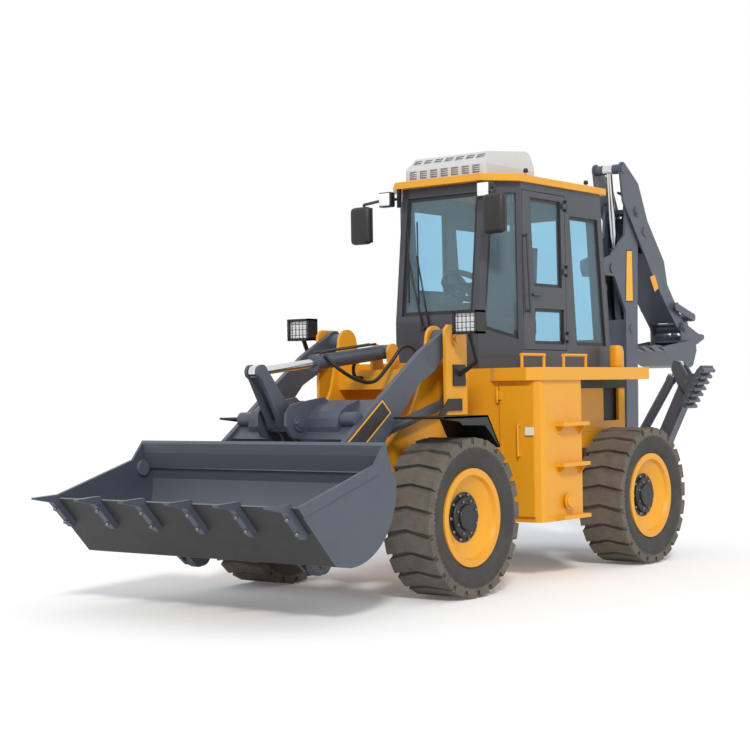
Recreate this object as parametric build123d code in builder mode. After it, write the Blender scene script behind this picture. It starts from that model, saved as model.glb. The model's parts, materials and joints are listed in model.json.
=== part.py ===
from build123d import *
import os
from math import cos, sin, radians

os.makedirs("parts", exist_ok=True)

# Wheels, millimetres. X is forward, Y left, Z up, ground at Z = 0.
FRONT_AXLE_X = 1617
REAR_AXLE_X = -1043
TYRE_RADIUS = 573
AXLE_Z = TYRE_RADIUS
TRACK_HALF = 856
TYRE_HALF_WIDTH = 205
RIM_RADIUS = 352
BEAD_RADIUS = 330
HUB_FACE = 60
SPINDLE_END = 92

# Articulation between the rear and the front frame.
STEER_X = 60
TONGUE_LOW = 465
TONGUE_HIGH = 910
FORK_PLATE = 40
SIDE_GAP = 5

# Cab.
CAB_HALF = 600
CAB_FLOOR_Z = 1650
CAB_WAIST_Z = 2040
CAB_TOP_Z = 3140
CAB_WALL = 45
CAB_FRONT_LOW_X = 582
CAB_FRONT_TOP_X = 457
CAB_CORNER_X = 237
WINDSCREEN_HALF = 405
DOOR_REAR_X = -438
DOOR_FRONT_X = 224
DOOR_LOW_Z = 1795
DOOR_TOP_Z = 3080
DOOR_GAP = 6
HINGE_X = -445
HINGE_Y = CAB_HALF + 12

# Loader linkage pins, written as (X, Z).
ARM_PIN = (1206, 1865)
LIFT_BASE = (1135, 1393)
LIFT_EYE = (2100, 1141)
BUCKET_PIN = (2790, 345)
ROCKER_PIN = (2470, 1270)
ROCKER_TOP = (2750, 1634)
ROCKER_LOW = (2117.5, 835)
BUCKET_LINK_PIN = (2590, 750)
TILT_BASE = (1278, 1786)
ARM_IN = 540
ARM_OUT = 580
LIFT_MID = 478
LIFT_HALF = 30

# Pin radii.
ARM_PIN_R = 40
BUCKET_PIN_R = 34
ROCKER_PIN_R = 34
RAM_PIN_R = 24
STEER_PIN_R = 50
SWING_PIN_R = 42
BOOM_PIN_R = 34
SCOOP_PIN_R = 28
GUIDE_PIN_R = 22
LEG_PIN_R = 30
SPINDLE_R = 55
DOOR_PIN_R = 7

# Rod radii of the cylinders.
LIFT_ROD_R = 24
TILT_ROD_R = 31
BOOM_ROD_R = 29
DIPPER_ROD_R = 29
SCOOP_ROD_R = 27
LEG_ROD_R = 25

# Backhoe linkage pins, written as (X, Z).
SWING_X = -2232
BOOM_FOOT = (-2383, 760)
BOOM_RAM_BASE = (-2200, 1050)
BOOM_NOSE = (-2063, 2590)
DIPPER_PIN = (-2504, 3145)
DIPPER_TAIL = (-2255, 3532)
DIPPER_RAM_BASE = (-2420, 2035)
SCOOP_PIN = (-3393, 2060)
SCOOP_LINK_PIN = (-3690, 1960)
GUIDE_PIN = (-3215, 2265)
GUIDE_TIP = (-3560, 2170)
SCOOP_RAM_BASE = (-2659, 2965)
BOOM_IN = 100
BOOM_OUT = 125
DIPPER_IN = 131
DIPPER_OUT = 150
SCOOP_HALF = 240
GUIDE_IN = 178
GUIDE_OUT = 194

# Stabilisers: plane of the legs, and pins written as (distance from the middle, Z).
LEG_X = -1925
LEG_HALF = 60
LEG_PIN = (492, 560)
LEG_RAM_BASE = (344, 850)
LEG_RAM_EYE = (861, 1670)
PAD_PIN = (966, 1525)


def slab_y(points, y_low, y_high, mode=Mode.ADD):
    """Extrude an X-Z outline from y_low to y_high."""
    with BuildSketch(Plane.XZ.offset(-y_high)) as profile:
        with BuildLine():
            Polyline(*points, close=True)
        make_face()
    extrude(profile.sketch, amount=y_high - y_low, mode=mode)


def pair_y(points, inner, outer, mode=Mode.ADD):
    """The same X-Z plate on the left and on the right."""
    slab_y(points, inner, outer, mode)
    slab_y(points, -outer, -inner, mode)


def disc_y(pin, radius, y_low, y_high, mode=Mode.ADD):
    """A round boss along Y about a pin written as (X, Z)."""
    with BuildSketch(Plane.XZ.offset(-y_high)) as profile:
        with Locations(pin):
            Circle(radius)
    extrude(profile.sketch, amount=y_high - y_low, mode=mode)


def disc_pair_y(pin, radius, inner, outer, mode=Mode.ADD):
    """The same round boss on the left and on the right."""
    disc_y(pin, radius, inner, outer, mode)
    disc_y(pin, radius, -outer, -inner, mode)


def slab_z(points, z_low, z_high, mode=Mode.ADD):
    """Extrude an X-Y outline from z_low to z_high."""
    with BuildSketch(Plane.XY.offset(z_low)) as profile:
        with BuildLine():
            Polyline(*points, close=True)
        make_face()
    extrude(profile.sketch, amount=z_high - z_low, mode=mode)


def disc_z(x, y, radius, z_low, z_high, mode=Mode.ADD):
    """A round boss along Z."""
    with BuildSketch(Plane.XY.offset(z_low)) as profile:
        with Locations((x, y)):
            Circle(radius)
    extrude(profile.sketch, amount=z_high - z_low, mode=mode)


def slab_x(points, x_low, x_high, mode=Mode.ADD):
    """Extrude a Y-Z outline from x_low to x_high."""
    with BuildSketch(Plane.YZ.offset(x_low)) as profile:
        with BuildLine():
            Polyline(*points, close=True)
        make_face()
    extrude(profile.sketch, amount=x_high - x_low, mode=mode)


def disc_x(pin, radius, x_low, x_high, mode=Mode.ADD):
    """A round boss along X about a pin written as (Y, Z)."""
    with BuildSketch(Plane.YZ.offset(x_low)) as profile:
        with Locations(pin):
            Circle(radius)
    extrude(profile.sketch, amount=x_high - x_low, mode=mode)


def block(x_low, x_high, y_low, y_high, z_low, z_high, mode=Mode.ADD):
    """A plain box between its limits."""
    middle = ((x_low + x_high) / 2, (y_low + y_high) / 2, (z_low + z_high) / 2)
    with Locations(middle):
        Box(x_high - x_low, y_high - y_low, z_high - z_low, mode=mode)


def bar(start, end, radius, mode=Mode.ADD):
    """A round bar between two points."""
    along = Vector(*end) - Vector(*start)
    with BuildSketch(Plane(origin=start, z_dir=along)) as profile:
        Circle(radius)
    extrude(profile.sketch, amount=along.length, mode=mode)


def ram_eye(pin, pin_axis, radius, half_width):
    """The eye at one end of a hydraulic cylinder."""
    axis = Vector(*pin_axis)
    first = Vector(*pin) - axis * half_width
    last = Vector(*pin) + axis * half_width
    bar(tuple(first), tuple(last), radius)


def ram_barrel(pin, aim, pin_axis, radius, length, rod_radius, eye_radius, eye_half):
    """Barrel with its base eye, a bore the rod runs in and a gland at the mouth."""
    aim_way = (Vector(*aim) - Vector(*pin)).normalized()
    start = Vector(*pin) + aim_way * (eye_radius * 0.8)
    end = Vector(*pin) + aim_way * length
    bore_start = Vector(*pin) + aim_way * (eye_radius + 25)
    gland_start = end - aim_way * (radius * 1.1)
    bar(tuple(start), tuple(end), radius)
    bar(tuple(gland_start), tuple(end + aim_way * 4), radius + 6)
    ram_eye(pin, pin_axis, eye_radius, eye_half)
    bar(tuple(bore_start), tuple(end + aim_way * 10), rod_radius + RUNNING, Mode.SUBTRACT)
    pin_way = Vector(*pin_axis) * (eye_half + radius)
    bar(tuple(Vector(*pin) - pin_way), tuple(Vector(*pin) + pin_way), RAM_PIN_R + RUNNING, Mode.SUBTRACT)


def ram_rod(pin, aim, pin_axis, radius, tail, eye_radius, eye_half):
    """Rod from tail millimetres off the base pin to the eye at the aim pin."""
    aim_way = (Vector(*aim) - Vector(*pin)).normalized()
    start = Vector(*pin) + aim_way * tail
    bar(tuple(start), aim, radius)
    ram_eye(aim, pin_axis, eye_radius, eye_half)


def on_y(pin, y=0):
    """The point of an (X, Z) pin at distance y from the middle plane."""
    return (pin[0], y, pin[1])


ALONG_X = (1, 0, 0)
ALONG_Y = (0, 1, 0)

# Hinge pins belong to the carrying piece; the turning piece has a bore with this running clearance.
RUNNING = 0.05


def bore_y(pin, radius, y_low, y_high):
    """Clear bore along Y for a pin of this radius."""
    disc_y(pin, radius + RUNNING, y_low, y_high, Mode.SUBTRACT)


def bore_pair_y(pin, radius, inner, outer):
    """The same bore on both sides."""
    bore_y(pin, radius, inner, outer)
    bore_y(pin, radius, -outer, -inner)


def wheel_ring(profile, axle_x, side):
    """Turn a (radius, offset) profile about an axle; offset grows away from the machine."""
    plane = Plane(origin=(axle_x, side * TRACK_HALF, AXLE_Z), x_dir=(1, 0, 0), z_dir=(0, 0, side))
    with BuildSketch(plane) as section:
        with BuildLine():
            Polyline(*profile, close=True)
        make_face()
    revolve(section.sketch, Axis((axle_x, 0, AXLE_Z), (0, 1, 0)), 360)


TREAD_RADIUS = 543
TYRE_PROFILE = [
    (BEAD_RADIUS, -166), (RIM_RADIUS, -166), (410, -192), (470, -TYRE_HALF_WIDTH),
    (520, -200), (TREAD_RADIUS, -170), (TREAD_RADIUS, 170),
    (520, 200), (470, TYRE_HALF_WIDTH), (410, 192), (RIM_RADIUS, 166), (BEAD_RADIUS, 166),
]
# Arrow-shaped tread lugs across the tyre, outline written as (along the tread, across it).
LUG_COUNT = 22
LUG_FOOT = 500
LUG_REACH = 84
LUG_OUTLINE = [(80, 201), (-36, 201), (-LUG_REACH, 0), (-36, -201), (80, -201), (44, 0)]
TREAD_TOP = (TYRE_RADIUS ** 2 - LUG_REACH ** 2) ** 0.5
RIM_PROFILE = [
    (0, 105), (140, 105), (140, 94), (175, 94), (290, 150), (304, 180), (RIM_RADIUS, 180),
    (RIM_RADIUS, 166), (BEAD_RADIUS, 166), (BEAD_RADIUS, -166), (RIM_RADIUS, -166),
    (RIM_RADIUS, -180), (300, -180), (300, 112), (185, HUB_FACE), (SPINDLE_R + RUNNING, HUB_FACE),
    (SPINDLE_R + RUNNING, SPINDLE_END), (0, SPINDLE_END),
]
WHEELS = [
    ("front_left", FRONT_AXLE_X, 1),
    ("front_right", FRONT_AXLE_X, -1),
    ("rear_left", REAR_AXLE_X, 1),
    ("rear_right", REAR_AXLE_X, -1),
]


def lug_plane(angle):
    """Plane square to the radius at this angle round the middle of the tyre."""
    out = (cos(radians(angle)), 0, sin(radians(angle)))
    along = (sin(radians(angle)), 0, -cos(radians(angle)))
    return Plane(origin=(LUG_FOOT * out[0], 0, LUG_FOOT * out[2]), x_dir=along, z_dir=out)


with BuildPart() as tyre_form:
    with BuildSketch(Plane.XY) as section:
        with BuildLine():
            Polyline(*TYRE_PROFILE, close=True)
        make_face()
    revolve(section.sketch, Axis.Y, 360)
    for lug in range(LUG_COUNT):
        with BuildSketch(lug_plane(360 / LUG_COUNT * lug)) as foot:
            with BuildLine():
                Polyline(*LUG_OUTLINE, close=True)
            make_face()
        extrude(foot.sketch, amount=TREAD_TOP - LUG_FOOT)
for wheel_name, wheel_x, wheel_side in WHEELS:
    tyre = Pos(wheel_x, wheel_side * TRACK_HALF, AXLE_Z) * tyre_form.part
    tyre.label = wheel_name + "_tyre"
    export_step(tyre, "parts/" + wheel_name + "_tyre.step")
    with BuildPart() as rim:
        wheel_ring(RIM_PROFILE, wheel_x, wheel_side)
    rim.part.label = wheel_name + "_rim"
    export_step(rim.part, "parts/" + wheel_name + "_rim.step")

# Axles: beam, hub ends inside the rims, a differential in the middle and two spring pads.
AXLE_PAD_TOP = 680
AXLE_TUBE = 95
for axle_name, axle_x, pad_y in [("front_axle", FRONT_AXLE_X, 435), ("rear_axle", REAR_AXLE_X, 385)]:
    with BuildPart() as axle:
        bar((axle_x, -700, AXLE_Z), (axle_x, 700, AXLE_Z), AXLE_TUBE)
        for axle_side in (1, -1):
            hub_near = (axle_x, axle_side * 690, AXLE_Z)
            hub_far = (axle_x, axle_side * (TRACK_HALF + HUB_FACE - 2), AXLE_Z)
            bar(hub_near, hub_far, 150)
            spindle_far = (axle_x, axle_side * (TRACK_HALF + SPINDLE_END - 2), AXLE_Z)
            bar(hub_near, spindle_far, SPINDLE_R)
            block(axle_x - 100, axle_x + 100, axle_side * (pad_y - 15) - 30, axle_side * (pad_y - 15) + 30,
                  AXLE_Z, AXLE_PAD_TOP)
        disc_x((0, AXLE_Z), 190, axle_x - 130, axle_x + 130)
        disc_x((0, AXLE_Z), 110, axle_x - 190, axle_x + 190)
    axle.part.label = axle_name
    export_step(axle.part, "parts/" + axle_name + ".step")

# Rear frame: two long plates, the fork of the articulation, side walls, bulkhead and top plate.
RAIL_IN = 360
RAIL_OUT = 385
BULKHEAD_X = 600
BACK_WALL_X = -1396
BOX_IN = CAB_HALF - 15
with BuildPart() as rear_frame:
    rail = [
        (-1640, AXLE_PAD_TOP), (-420, AXLE_PAD_TOP), (-320, TONGUE_LOW - SIDE_GAP - FORK_PLATE),
        (150, TONGUE_LOW - SIDE_GAP - FORK_PLATE), (150, 1000), (-1640, 1000),
    ]
    pair_y(rail, RAIL_IN, RAIL_OUT)
    fork = [(-120, -RAIL_OUT), (150, -RAIL_OUT), (205, -120), (205, 120), (150, RAIL_OUT), (-120, RAIL_OUT)]
    slab_z(fork, TONGUE_HIGH + SIDE_GAP, TONGUE_HIGH + SIDE_GAP + FORK_PLATE)
    slab_z(fork, TONGUE_LOW - SIDE_GAP - FORK_PLATE, TONGUE_LOW - SIDE_GAP)
    disc_z(STEER_X, 0, STEER_PIN_R, TONGUE_LOW - SIDE_GAP - FORK_PLATE, TONGUE_HIGH + SIDE_GAP + FORK_PLATE)
    for wall_side in (1, -1):
        y_a, y_b = sorted((wall_side * (CAB_HALF - 25), wall_side * CAB_HALF))
        block(BACK_WALL_X, -15, y_a, y_b, 1000, 1550)
        block(-1290, -1025, y_a - 5, y_b + 5, 1200, 1490, Mode.SUBTRACT)
        y_a, y_b = sorted((wall_side * RAIL_IN, wall_side * CAB_HALF))
        block(BACK_WALL_X, -15, y_a, y_b, 980, 1000)
        y_a, y_b = sorted((wall_side * RAIL_IN, wall_side * BOX_IN))
        block(-15, 150, y_a, y_b, 980, 1000)
    block(BACK_WALL_X, BACK_WALL_X + 20, -CAB_HALF, CAB_HALF, 980, 1550)
    block(BULKHEAD_X - 20, BULKHEAD_X, -BOX_IN, BOX_IN, 1000, 1550)
    block(-15, BULKHEAD_X, -BOX_IN, BOX_IN, 1530, 1550)
    block(BACK_WALL_X, -15, -CAB_HALF, CAB_HALF, 1530, 1550)
    cowl = [(-1396, 1550), (-1396, 1800), (-1375, 1840), (-1330, 1850), (-1202, 1850), (-1202, 1550)]
    slab_y(cowl, -CAB_HALF, CAB_HALF)
rear_frame.part.label = "rear_frame"
export_step(rear_frame.part, "parts/rear_frame.step")

with BuildPart() as engine_block:
    block(-900, -130, -RAIL_IN, RAIL_IN, 700, 1400)
engine_block.part.label = "engine_block"
export_step(engine_block.part, "parts/engine_block.step")

# Boxes beside the bulkhead, the left one hollow behind its door, the right one a tank.
BOX_OUT = 975
BOX_FRONT_X = 590
BOX_REAR_X = -15
BOX_LOW_Z = 455
DECK_LOW_Z = 1550
BOX_ROUND = 60
BOX_HINGE_X = 617
BOX_HINGE_Y = BOX_IN + 11
with BuildPart() as side_boxes:
    for box_side in (1, -1):
        plan = [
            (BOX_REAR_X, box_side * BOX_IN), (BOX_FRONT_X, box_side * BOX_IN),
            (BOX_FRONT_X, box_side * (BOX_OUT - BOX_ROUND)),
            (BOX_FRONT_X - BOX_ROUND * 0.3, box_side * (BOX_OUT - BOX_ROUND * 0.3)),
            (BOX_FRONT_X - BOX_ROUND, box_side * BOX_OUT), (BOX_REAR_X, box_side * BOX_OUT),
        ]
        slab_z(plan, BOX_LOW_Z, DECK_LOW_Z)
    block(BOX_REAR_X + 15, BOX_FRONT_X + 5, BOX_IN + 15, BOX_OUT - 70, BOX_LOW_Z + 65, DECK_LOW_Z - 60,
          Mode.SUBTRACT)
    block(BOX_REAR_X + 15, BOX_FRONT_X - 60, BOX_IN + 15, BOX_OUT - 15, BOX_LOW_Z + 15, DECK_LOW_Z - 15,
          Mode.SUBTRACT)
    for hinge_z in (1015, 1440):
        disc_z(BOX_HINGE_X, BOX_HINGE_Y, DOOR_PIN_R, hinge_z - 60, hinge_z + 60)
        for lug_z in (hinge_z - 60, hinge_z + 40):
            block(BOX_FRONT_X - 5, BOX_HINGE_X, BOX_HINGE_Y - 10, BOX_HINGE_Y + 6, lug_z, lug_z + 20)
side_boxes.part.label = "side_boxes"
export_step(side_boxes.part, "parts/side_boxes.step")

with BuildPart() as box_door:
    block(BOX_FRONT_X + SIDE_GAP, BOX_FRONT_X + 21, BOX_HINGE_Y + 18, BOX_OUT - 55, BOX_LOW_Z + 45,
          DECK_LOW_Z - 40)
    for hinge_z in (1015, 1440):
        disc_z(BOX_HINGE_X, BOX_HINGE_Y, 12, hinge_z - 36, hinge_z + 36)
        block(BOX_HINGE_X - 6, BOX_HINGE_X + 6, BOX_HINGE_Y, BOX_HINGE_Y + 40, hinge_z - 36, hinge_z + 36)
        block(BOX_FRONT_X + SIDE_GAP, BOX_HINGE_X + 6, BOX_HINGE_Y + 20, BOX_HINGE_Y + 40, hinge_z - 36, hinge_z + 36)
        disc_z(BOX_HINGE_X, BOX_HINGE_Y, DOOR_PIN_R + RUNNING, hinge_z - 40, hinge_z + 40, Mode.SUBTRACT)
    bar((BOX_FRONT_X + 50, 795, 965), (BOX_FRONT_X + 50, 795, 1215), 9)
    for grip_z in (975, 1205):
        bar((BOX_FRONT_X + 15, 795, grip_z), (BOX_FRONT_X + 50, 795, grip_z), 9)
box_door.part.label = "box_door"
export_step(box_door.part, "parts/box_door.step")

# Three steps on each side box with slanted brackets below the upper two.
STEP_OUT = 1052
STEP_HEIGHTS = [480, 890, 1205]
with BuildPart() as side_steps:
    for step_side in (1, -1):
        for step_z in STEP_HEIGHTS:
            y_a, y_b = sorted((step_side * BOX_OUT, step_side * STEP_OUT))
            block(BOX_REAR_X, 385, y_a, y_b, step_z - 15, step_z + 15)
            for bracket_x in (20, 330):
                gusset = [
                    (step_side * BOX_OUT, step_z - 15), (step_side * (STEP_OUT - 15), step_z - 15),
                    (step_side * BOX_OUT, step_z - 85),
                ]
                if step_z > 500:
                    slab_x(gusset, bracket_x, bracket_x + 12)
side_steps.part.label = "side_steps"
export_step(side_steps.part, "parts/side_steps.step")

# Deck round the cab with its turned-down skirt, and the grab loops above it.
DECK_TOP_Z = CAB_FLOOR_Z
DECK_HALF = 1000
# The front corners are cut back to let the front machine turn past them.
DECK_CORNER_Y = DECK_HALF - 120
with BuildPart() as deck:
    plan = [
        (-1105, -DECK_HALF), (560, -DECK_HALF), (640, -DECK_CORNER_Y), (640, -590), (600, -520), (600, 520),
        (640, 590), (640, DECK_CORNER_Y), (560, DECK_HALF), (-1105, DECK_HALF),
    ]
    slab_z(plan, DECK_LOW_Z, DECK_TOP_Z)
    for pocket_side in (1, -1):
        y_a, y_b = sorted((pocket_side * 625, pocket_side * 980))
        block(-1085, 500, y_a, y_b, DECK_LOW_Z - 5, DECK_TOP_Z - 18, Mode.SUBTRACT)
        for loop_low, loop_high in [(-372, -2), (270, 615)]:
            loop_y = pocket_side * 820
            bar((loop_low + 12, loop_y, DECK_TOP_Z - 5), (loop_low + 12, loop_y, DECK_TOP_Z + 110), 12)
            bar((loop_high - 12, loop_y, DECK_TOP_Z - 5), (loop_high - 12, loop_y, DECK_TOP_Z + 110), 12)
            bar((loop_low, loop_y, DECK_TOP_Z + 100), (loop_high, loop_y, DECK_TOP_Z + 100), 12)
deck.part.label = "deck"
export_step(deck.part, "parts/deck.step")


# Direction of the slanted front corner in plan.
CORNER_LENGTH = ((CAB_FRONT_LOW_X - CAB_CORNER_X) ** 2 + (CAB_HALF - WINDSCREEN_HALF) ** 2) ** 0.5
CORNER_OUT_X = (CAB_HALF - WINDSCREEN_HALF) / CORNER_LENGTH
CORNER_OUT_Y = (CAB_FRONT_LOW_X - CAB_CORNER_X) / CORNER_LENGTH
SIDE_CUT_IN = CAB_HALF - 100
SIDE_CUT_OUT = CAB_HALF + 40


def cab_section(front_x, rear_x, inset):
    """Plan outline of the cab at one height, moved inwards by inset."""
    front_y = WINDSCREEN_HALF - inset * (1 - CORNER_OUT_X) / CORNER_OUT_Y
    corner_x = CAB_CORNER_X - inset * (1 - CORNER_OUT_Y) / CORNER_OUT_X
    side_y = CAB_HALF - inset
    return [
        (front_x - inset, -front_y), (front_x - inset, front_y), (corner_x, side_y),
        (rear_x + inset, side_y), (rear_x + inset, -side_y), (corner_x, -side_y),
    ]


CAB_HEIGHTS = [
    (CAB_FLOOR_Z, CAB_FRONT_LOW_X, -1168),
    (CAB_WAIST_Z, CAB_FRONT_LOW_X, -1129),
    (CAB_TOP_Z, CAB_FRONT_TOP_X, -1021),
]


def cab_body(inset, floor_z, mode=Mode.ADD):
    """Ruled body through the three cab sections."""
    faces = []
    for height, front_x, rear_x in CAB_HEIGHTS:
        if height == CAB_FLOOR_Z:
            height = floor_z
        with BuildSketch(Plane.XY.offset(height)) as section:
            with BuildLine():
                Polyline(*cab_section(front_x, rear_x, inset), close=True)
            make_face()
        faces.append(section.sketch.face())
    loft(faces, ruled=True, mode=mode)


DOOR_UPPER_WINDOW = [(103, 3027), (58, 2312), (-375, 2312), (-367, 3027)]
DOOR_LOWER_WINDOW = [(52, 1845), (52, 2135), (-399, 2135), (-399, 1845)]
REAR_SIDE_WINDOW = [(-507, 2920), (-600, 1840), (-1087, 1840), (-970, 2920)]
QUARTER_WINDOW = [(40, 1880), (345, 1965), (245, 3050), (40, 3050)]
OPEN_SIDE = 1


def cab_windows(mode):
    """Solids that fill the fixed windows; used for the openings and for the panes."""
    screen_half = WINDSCREEN_HALF - 55
    block(CAB_FRONT_TOP_X - 77, CAB_FRONT_LOW_X + 118, -screen_half, screen_half, CAB_WAIST_Z + 50,
          CAB_TOP_Z - 80, mode)
    block(-1300, -900, -(CAB_HALF - 130), CAB_HALF - 130, 1900, 2950, mode)
    for side in (1, -1):
        y_a, y_b = sorted((side * SIDE_CUT_IN, side * SIDE_CUT_OUT))
        slab_y(REAR_SIDE_WINDOW, y_a, y_b, mode)
        if side != OPEN_SIDE:
            slab_y(DOOR_UPPER_WINDOW, y_a, y_b, mode)
            slab_y(DOOR_LOWER_WINDOW, y_a, y_b, mode)
        corner = Plane(origin=(CAB_CORNER_X, side * CAB_HALF, 0), x_dir=(CORNER_OUT_Y, -CORNER_OUT_X * side, 0),
                       z_dir=(-CORNER_OUT_X * side, -CORNER_OUT_Y, 0))
        with BuildSketch(corner) as quarter:
            with BuildLine():
                Polyline(*QUARTER_WINDOW, close=True)
            make_face()
        extrude(quarter.sketch, amount=130, both=True, mode=mode)


with BuildPart() as cab_shell:
    cab_body(0, CAB_FLOOR_Z)
    cab_body(CAB_WALL, CAB_FLOOR_Z + 50, Mode.SUBTRACT)
    cab_windows(Mode.SUBTRACT)
    block(DOOR_REAR_X, DOOR_FRONT_X, SIDE_CUT_IN, SIDE_CUT_OUT, DOOR_LOW_Z, DOOR_TOP_Z, Mode.SUBTRACT)
    for hinge_z in (1900, 2450, 2990):
        disc_z(HINGE_X, HINGE_Y, DOOR_PIN_R, hinge_z - 40, hinge_z + 40)
        block(DOOR_REAR_X - 40, HINGE_X + 5, CAB_HALF - 10, HINGE_Y, hinge_z - 40, hinge_z - 22)
        block(DOOR_REAR_X - 40, HINGE_X + 5, CAB_HALF - 10, HINGE_Y, hinge_z + 22, hinge_z + 40)
cab_shell.part.label = "cab_shell"
export_step(cab_shell.part, "parts/cab_shell.step")

# Panes sit in the middle of the wall, cut by the same windows.
with BuildPart() as window_fill:
    cab_windows(Mode.ADD)
with BuildPart() as cab_glass:
    cab_body(18, CAB_FLOOR_Z)
    cab_body(26, CAB_FLOOR_Z - 1, Mode.SUBTRACT)
    add(window_fill.part, mode=Mode.INTERSECT)
cab_glass.part.label = "cab_glass"
export_step(cab_glass.part, "parts/cab_glass.step")

LEAF_OUT = CAB_HALF
LEAF_IN = CAB_HALF - 40
with BuildPart() as cab_door:
    block(DOOR_REAR_X + DOOR_GAP, DOOR_FRONT_X - DOOR_GAP, LEAF_IN, LEAF_OUT, DOOR_LOW_Z + DOOR_GAP,
          DOOR_TOP_Z - DOOR_GAP)
    slab_y(DOOR_UPPER_WINDOW, LEAF_IN - 5, LEAF_OUT + 5, Mode.SUBTRACT)
    slab_y(DOOR_LOWER_WINDOW, LEAF_IN - 5, LEAF_OUT + 5, Mode.SUBTRACT)
    bar((-14, LEAF_OUT + 22, 2241), (110, LEAF_OUT + 22, 2241), 10)
    for lever_x in (0, 96):
        bar((lever_x, LEAF_OUT - 5, 2241), (lever_x, LEAF_OUT + 22, 2241), 8)
    bar((157, LEAF_OUT + 30, 2091), (196, LEAF_OUT + 30, 2729), 11)
    for rail_x, rail_z in [(158, 2110), (195, 2710)]:
        bar((rail_x, LEAF_OUT - 5, rail_z), (rail_x, LEAF_OUT + 30, rail_z), 9)
    for hinge_z in (1900, 2450, 2990):
        disc_z(HINGE_X, HINGE_Y, 12, hinge_z - 20, hinge_z + 20)
        block(HINGE_X, DOOR_REAR_X + 60, LEAF_OUT + 4, LEAF_OUT + 20, hinge_z - 20, hinge_z + 20)
        block(DOOR_REAR_X + 20, DOOR_REAR_X + 60, LEAF_OUT - 5, LEAF_OUT + 20, hinge_z - 20, hinge_z + 20)
        disc_z(HINGE_X, HINGE_Y, DOOR_PIN_R + RUNNING, hinge_z - 25, hinge_z + 25, Mode.SUBTRACT)
cab_door.part.label = "cab_door"
export_step(cab_door.part, "parts/cab_door.step")

with BuildPart() as cab_door_glass:
    slab_y(DOOR_UPPER_WINDOW, LEAF_IN + 14, LEAF_IN + 22)
    slab_y(DOOR_LOWER_WINDOW, LEAF_IN + 14, LEAF_IN + 22)
cab_door_glass.part.label = "cab_door_glass"
export_step(cab_door_glass.part, "parts/cab_door_glass.step")

ROOF_TOP_Z = 3195
# Round pad that takes a beacon.
BEACON_PAD_R = 85
ROOF_HALF = CAB_HALF + 27
with BuildPart() as cab_roof:
    plan = [
        (-1113, -ROOF_HALF), (300, -ROOF_HALF), (542, -WINDSCREEN_HALF - 15), (542, WINDSCREEN_HALF + 15),
        (300, ROOF_HALF), (-1113, ROOF_HALF),
    ]
    slab_z(plan, CAB_TOP_Z, ROOF_TOP_Z)
    fillet(cab_roof.edges().filter_by(Axis.Z), 40)
    disc_z(-780, 0, BEACON_PAD_R, ROOF_TOP_Z - 5, ROOF_TOP_Z + 6)
cab_roof.part.label = "cab_roof"
export_step(cab_roof.part, "parts/cab_roof.step")

with BuildPart() as air_conditioner:
    side_view = [(437, 3195), (437, 3290), (330, 3400), (-270, 3460), (-313, 3435), (-313, 3195)]
    slab_y(side_view, -400, 400)
    fillet(air_conditioner.edges().filter_by(Axis.Z), 30)
    front_view = [(-400, 3190), (-400, 3290), (-335, 3465), (335, 3465), (400, 3290), (400, 3190)]
    slab_x(front_view, -320, 440, Mode.INTERSECT)
    louvre_face = Plane(origin=(383.5, 0, 3345), x_dir=(0, 1, 0), z_dir=(0.717, 0, 0.697))
    for louvre in range(7):
        with BuildSketch(louvre_face) as slot:
            with Locations(((louvre - 3) * 104, 0)):
                Rectangle(78, 100)
        extrude(slot.sketch, amount=-14, mode=Mode.SUBTRACT)
air_conditioner.part.label = "air_conditioner"
export_step(air_conditioner.part, "parts/air_conditioner.step")

with BuildPart() as operator_seat:
    block(-480, -120, -200, 200, CAB_FLOOR_Z + 50, 1950)
    block(-540, -60, -240, 240, 1950, 2070)
    back = [(-540, 2000), (-430, 2000), (-500, 2680), (-600, 2680)]
    slab_y(back, -230, 230)
    slab_y([(-590, 2660), (-505, 2660), (-525, 2840), (-600, 2840)], -130, 130)
operator_seat.part.label = "operator_seat"
export_step(operator_seat.part, "parts/operator_seat.step")

with BuildPart() as steering_console:
    slab_y([(250, CAB_FLOOR_Z + 50), (500, CAB_FLOOR_Z + 50), (500, 2000), (330, 2190), (250, 2190)], -160, 160)
    bar((290, 0, 2150), (170, 0, 2330), 30)
    with BuildSketch(Plane(origin=(165, 0, 2338), z_dir=(-0.555, 0, 0.832))) as wheel_plan:
        Circle(200)
        Circle(178, mode=Mode.SUBTRACT)
        Rectangle(370, 34)
        Rectangle(34, 370)
    extrude(wheel_plan.sketch, amount=22, both=True)
steering_console.part.label = "steering_console"
export_step(steering_console.part, "parts/steering_console.step")

# Mirrors and small lamps on brackets that hang from the front corners of the roof.
with BuildPart() as mirrors:
    for mirror_side in (1, -1):
        y_a, y_b = sorted((mirror_side * 385, mirror_side * 412))
        block(505, 532, y_a, y_b, 2990, CAB_TOP_Z)
        bar((519, mirror_side * 400, 3060), (560, mirror_side * 520, 3060), 12)
        bar((560, mirror_side * 515, 3060), (680, mirror_side * 640, 3020), 12)
        bar((680, mirror_side * 640, 3025), (680, mirror_side * 640, 2960), 12)
        y_a, y_b = sorted((mirror_side * 565, mirror_side * 745))
        block(662, 698, y_a, y_b, 2705, 2990)
        bar((565, mirror_side * 520, 3060), (525, mirror_side * 520, 3060), 40)
mirrors.part.label = "mirrors"
export_step(mirrors.part, "parts/mirrors.step")

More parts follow.
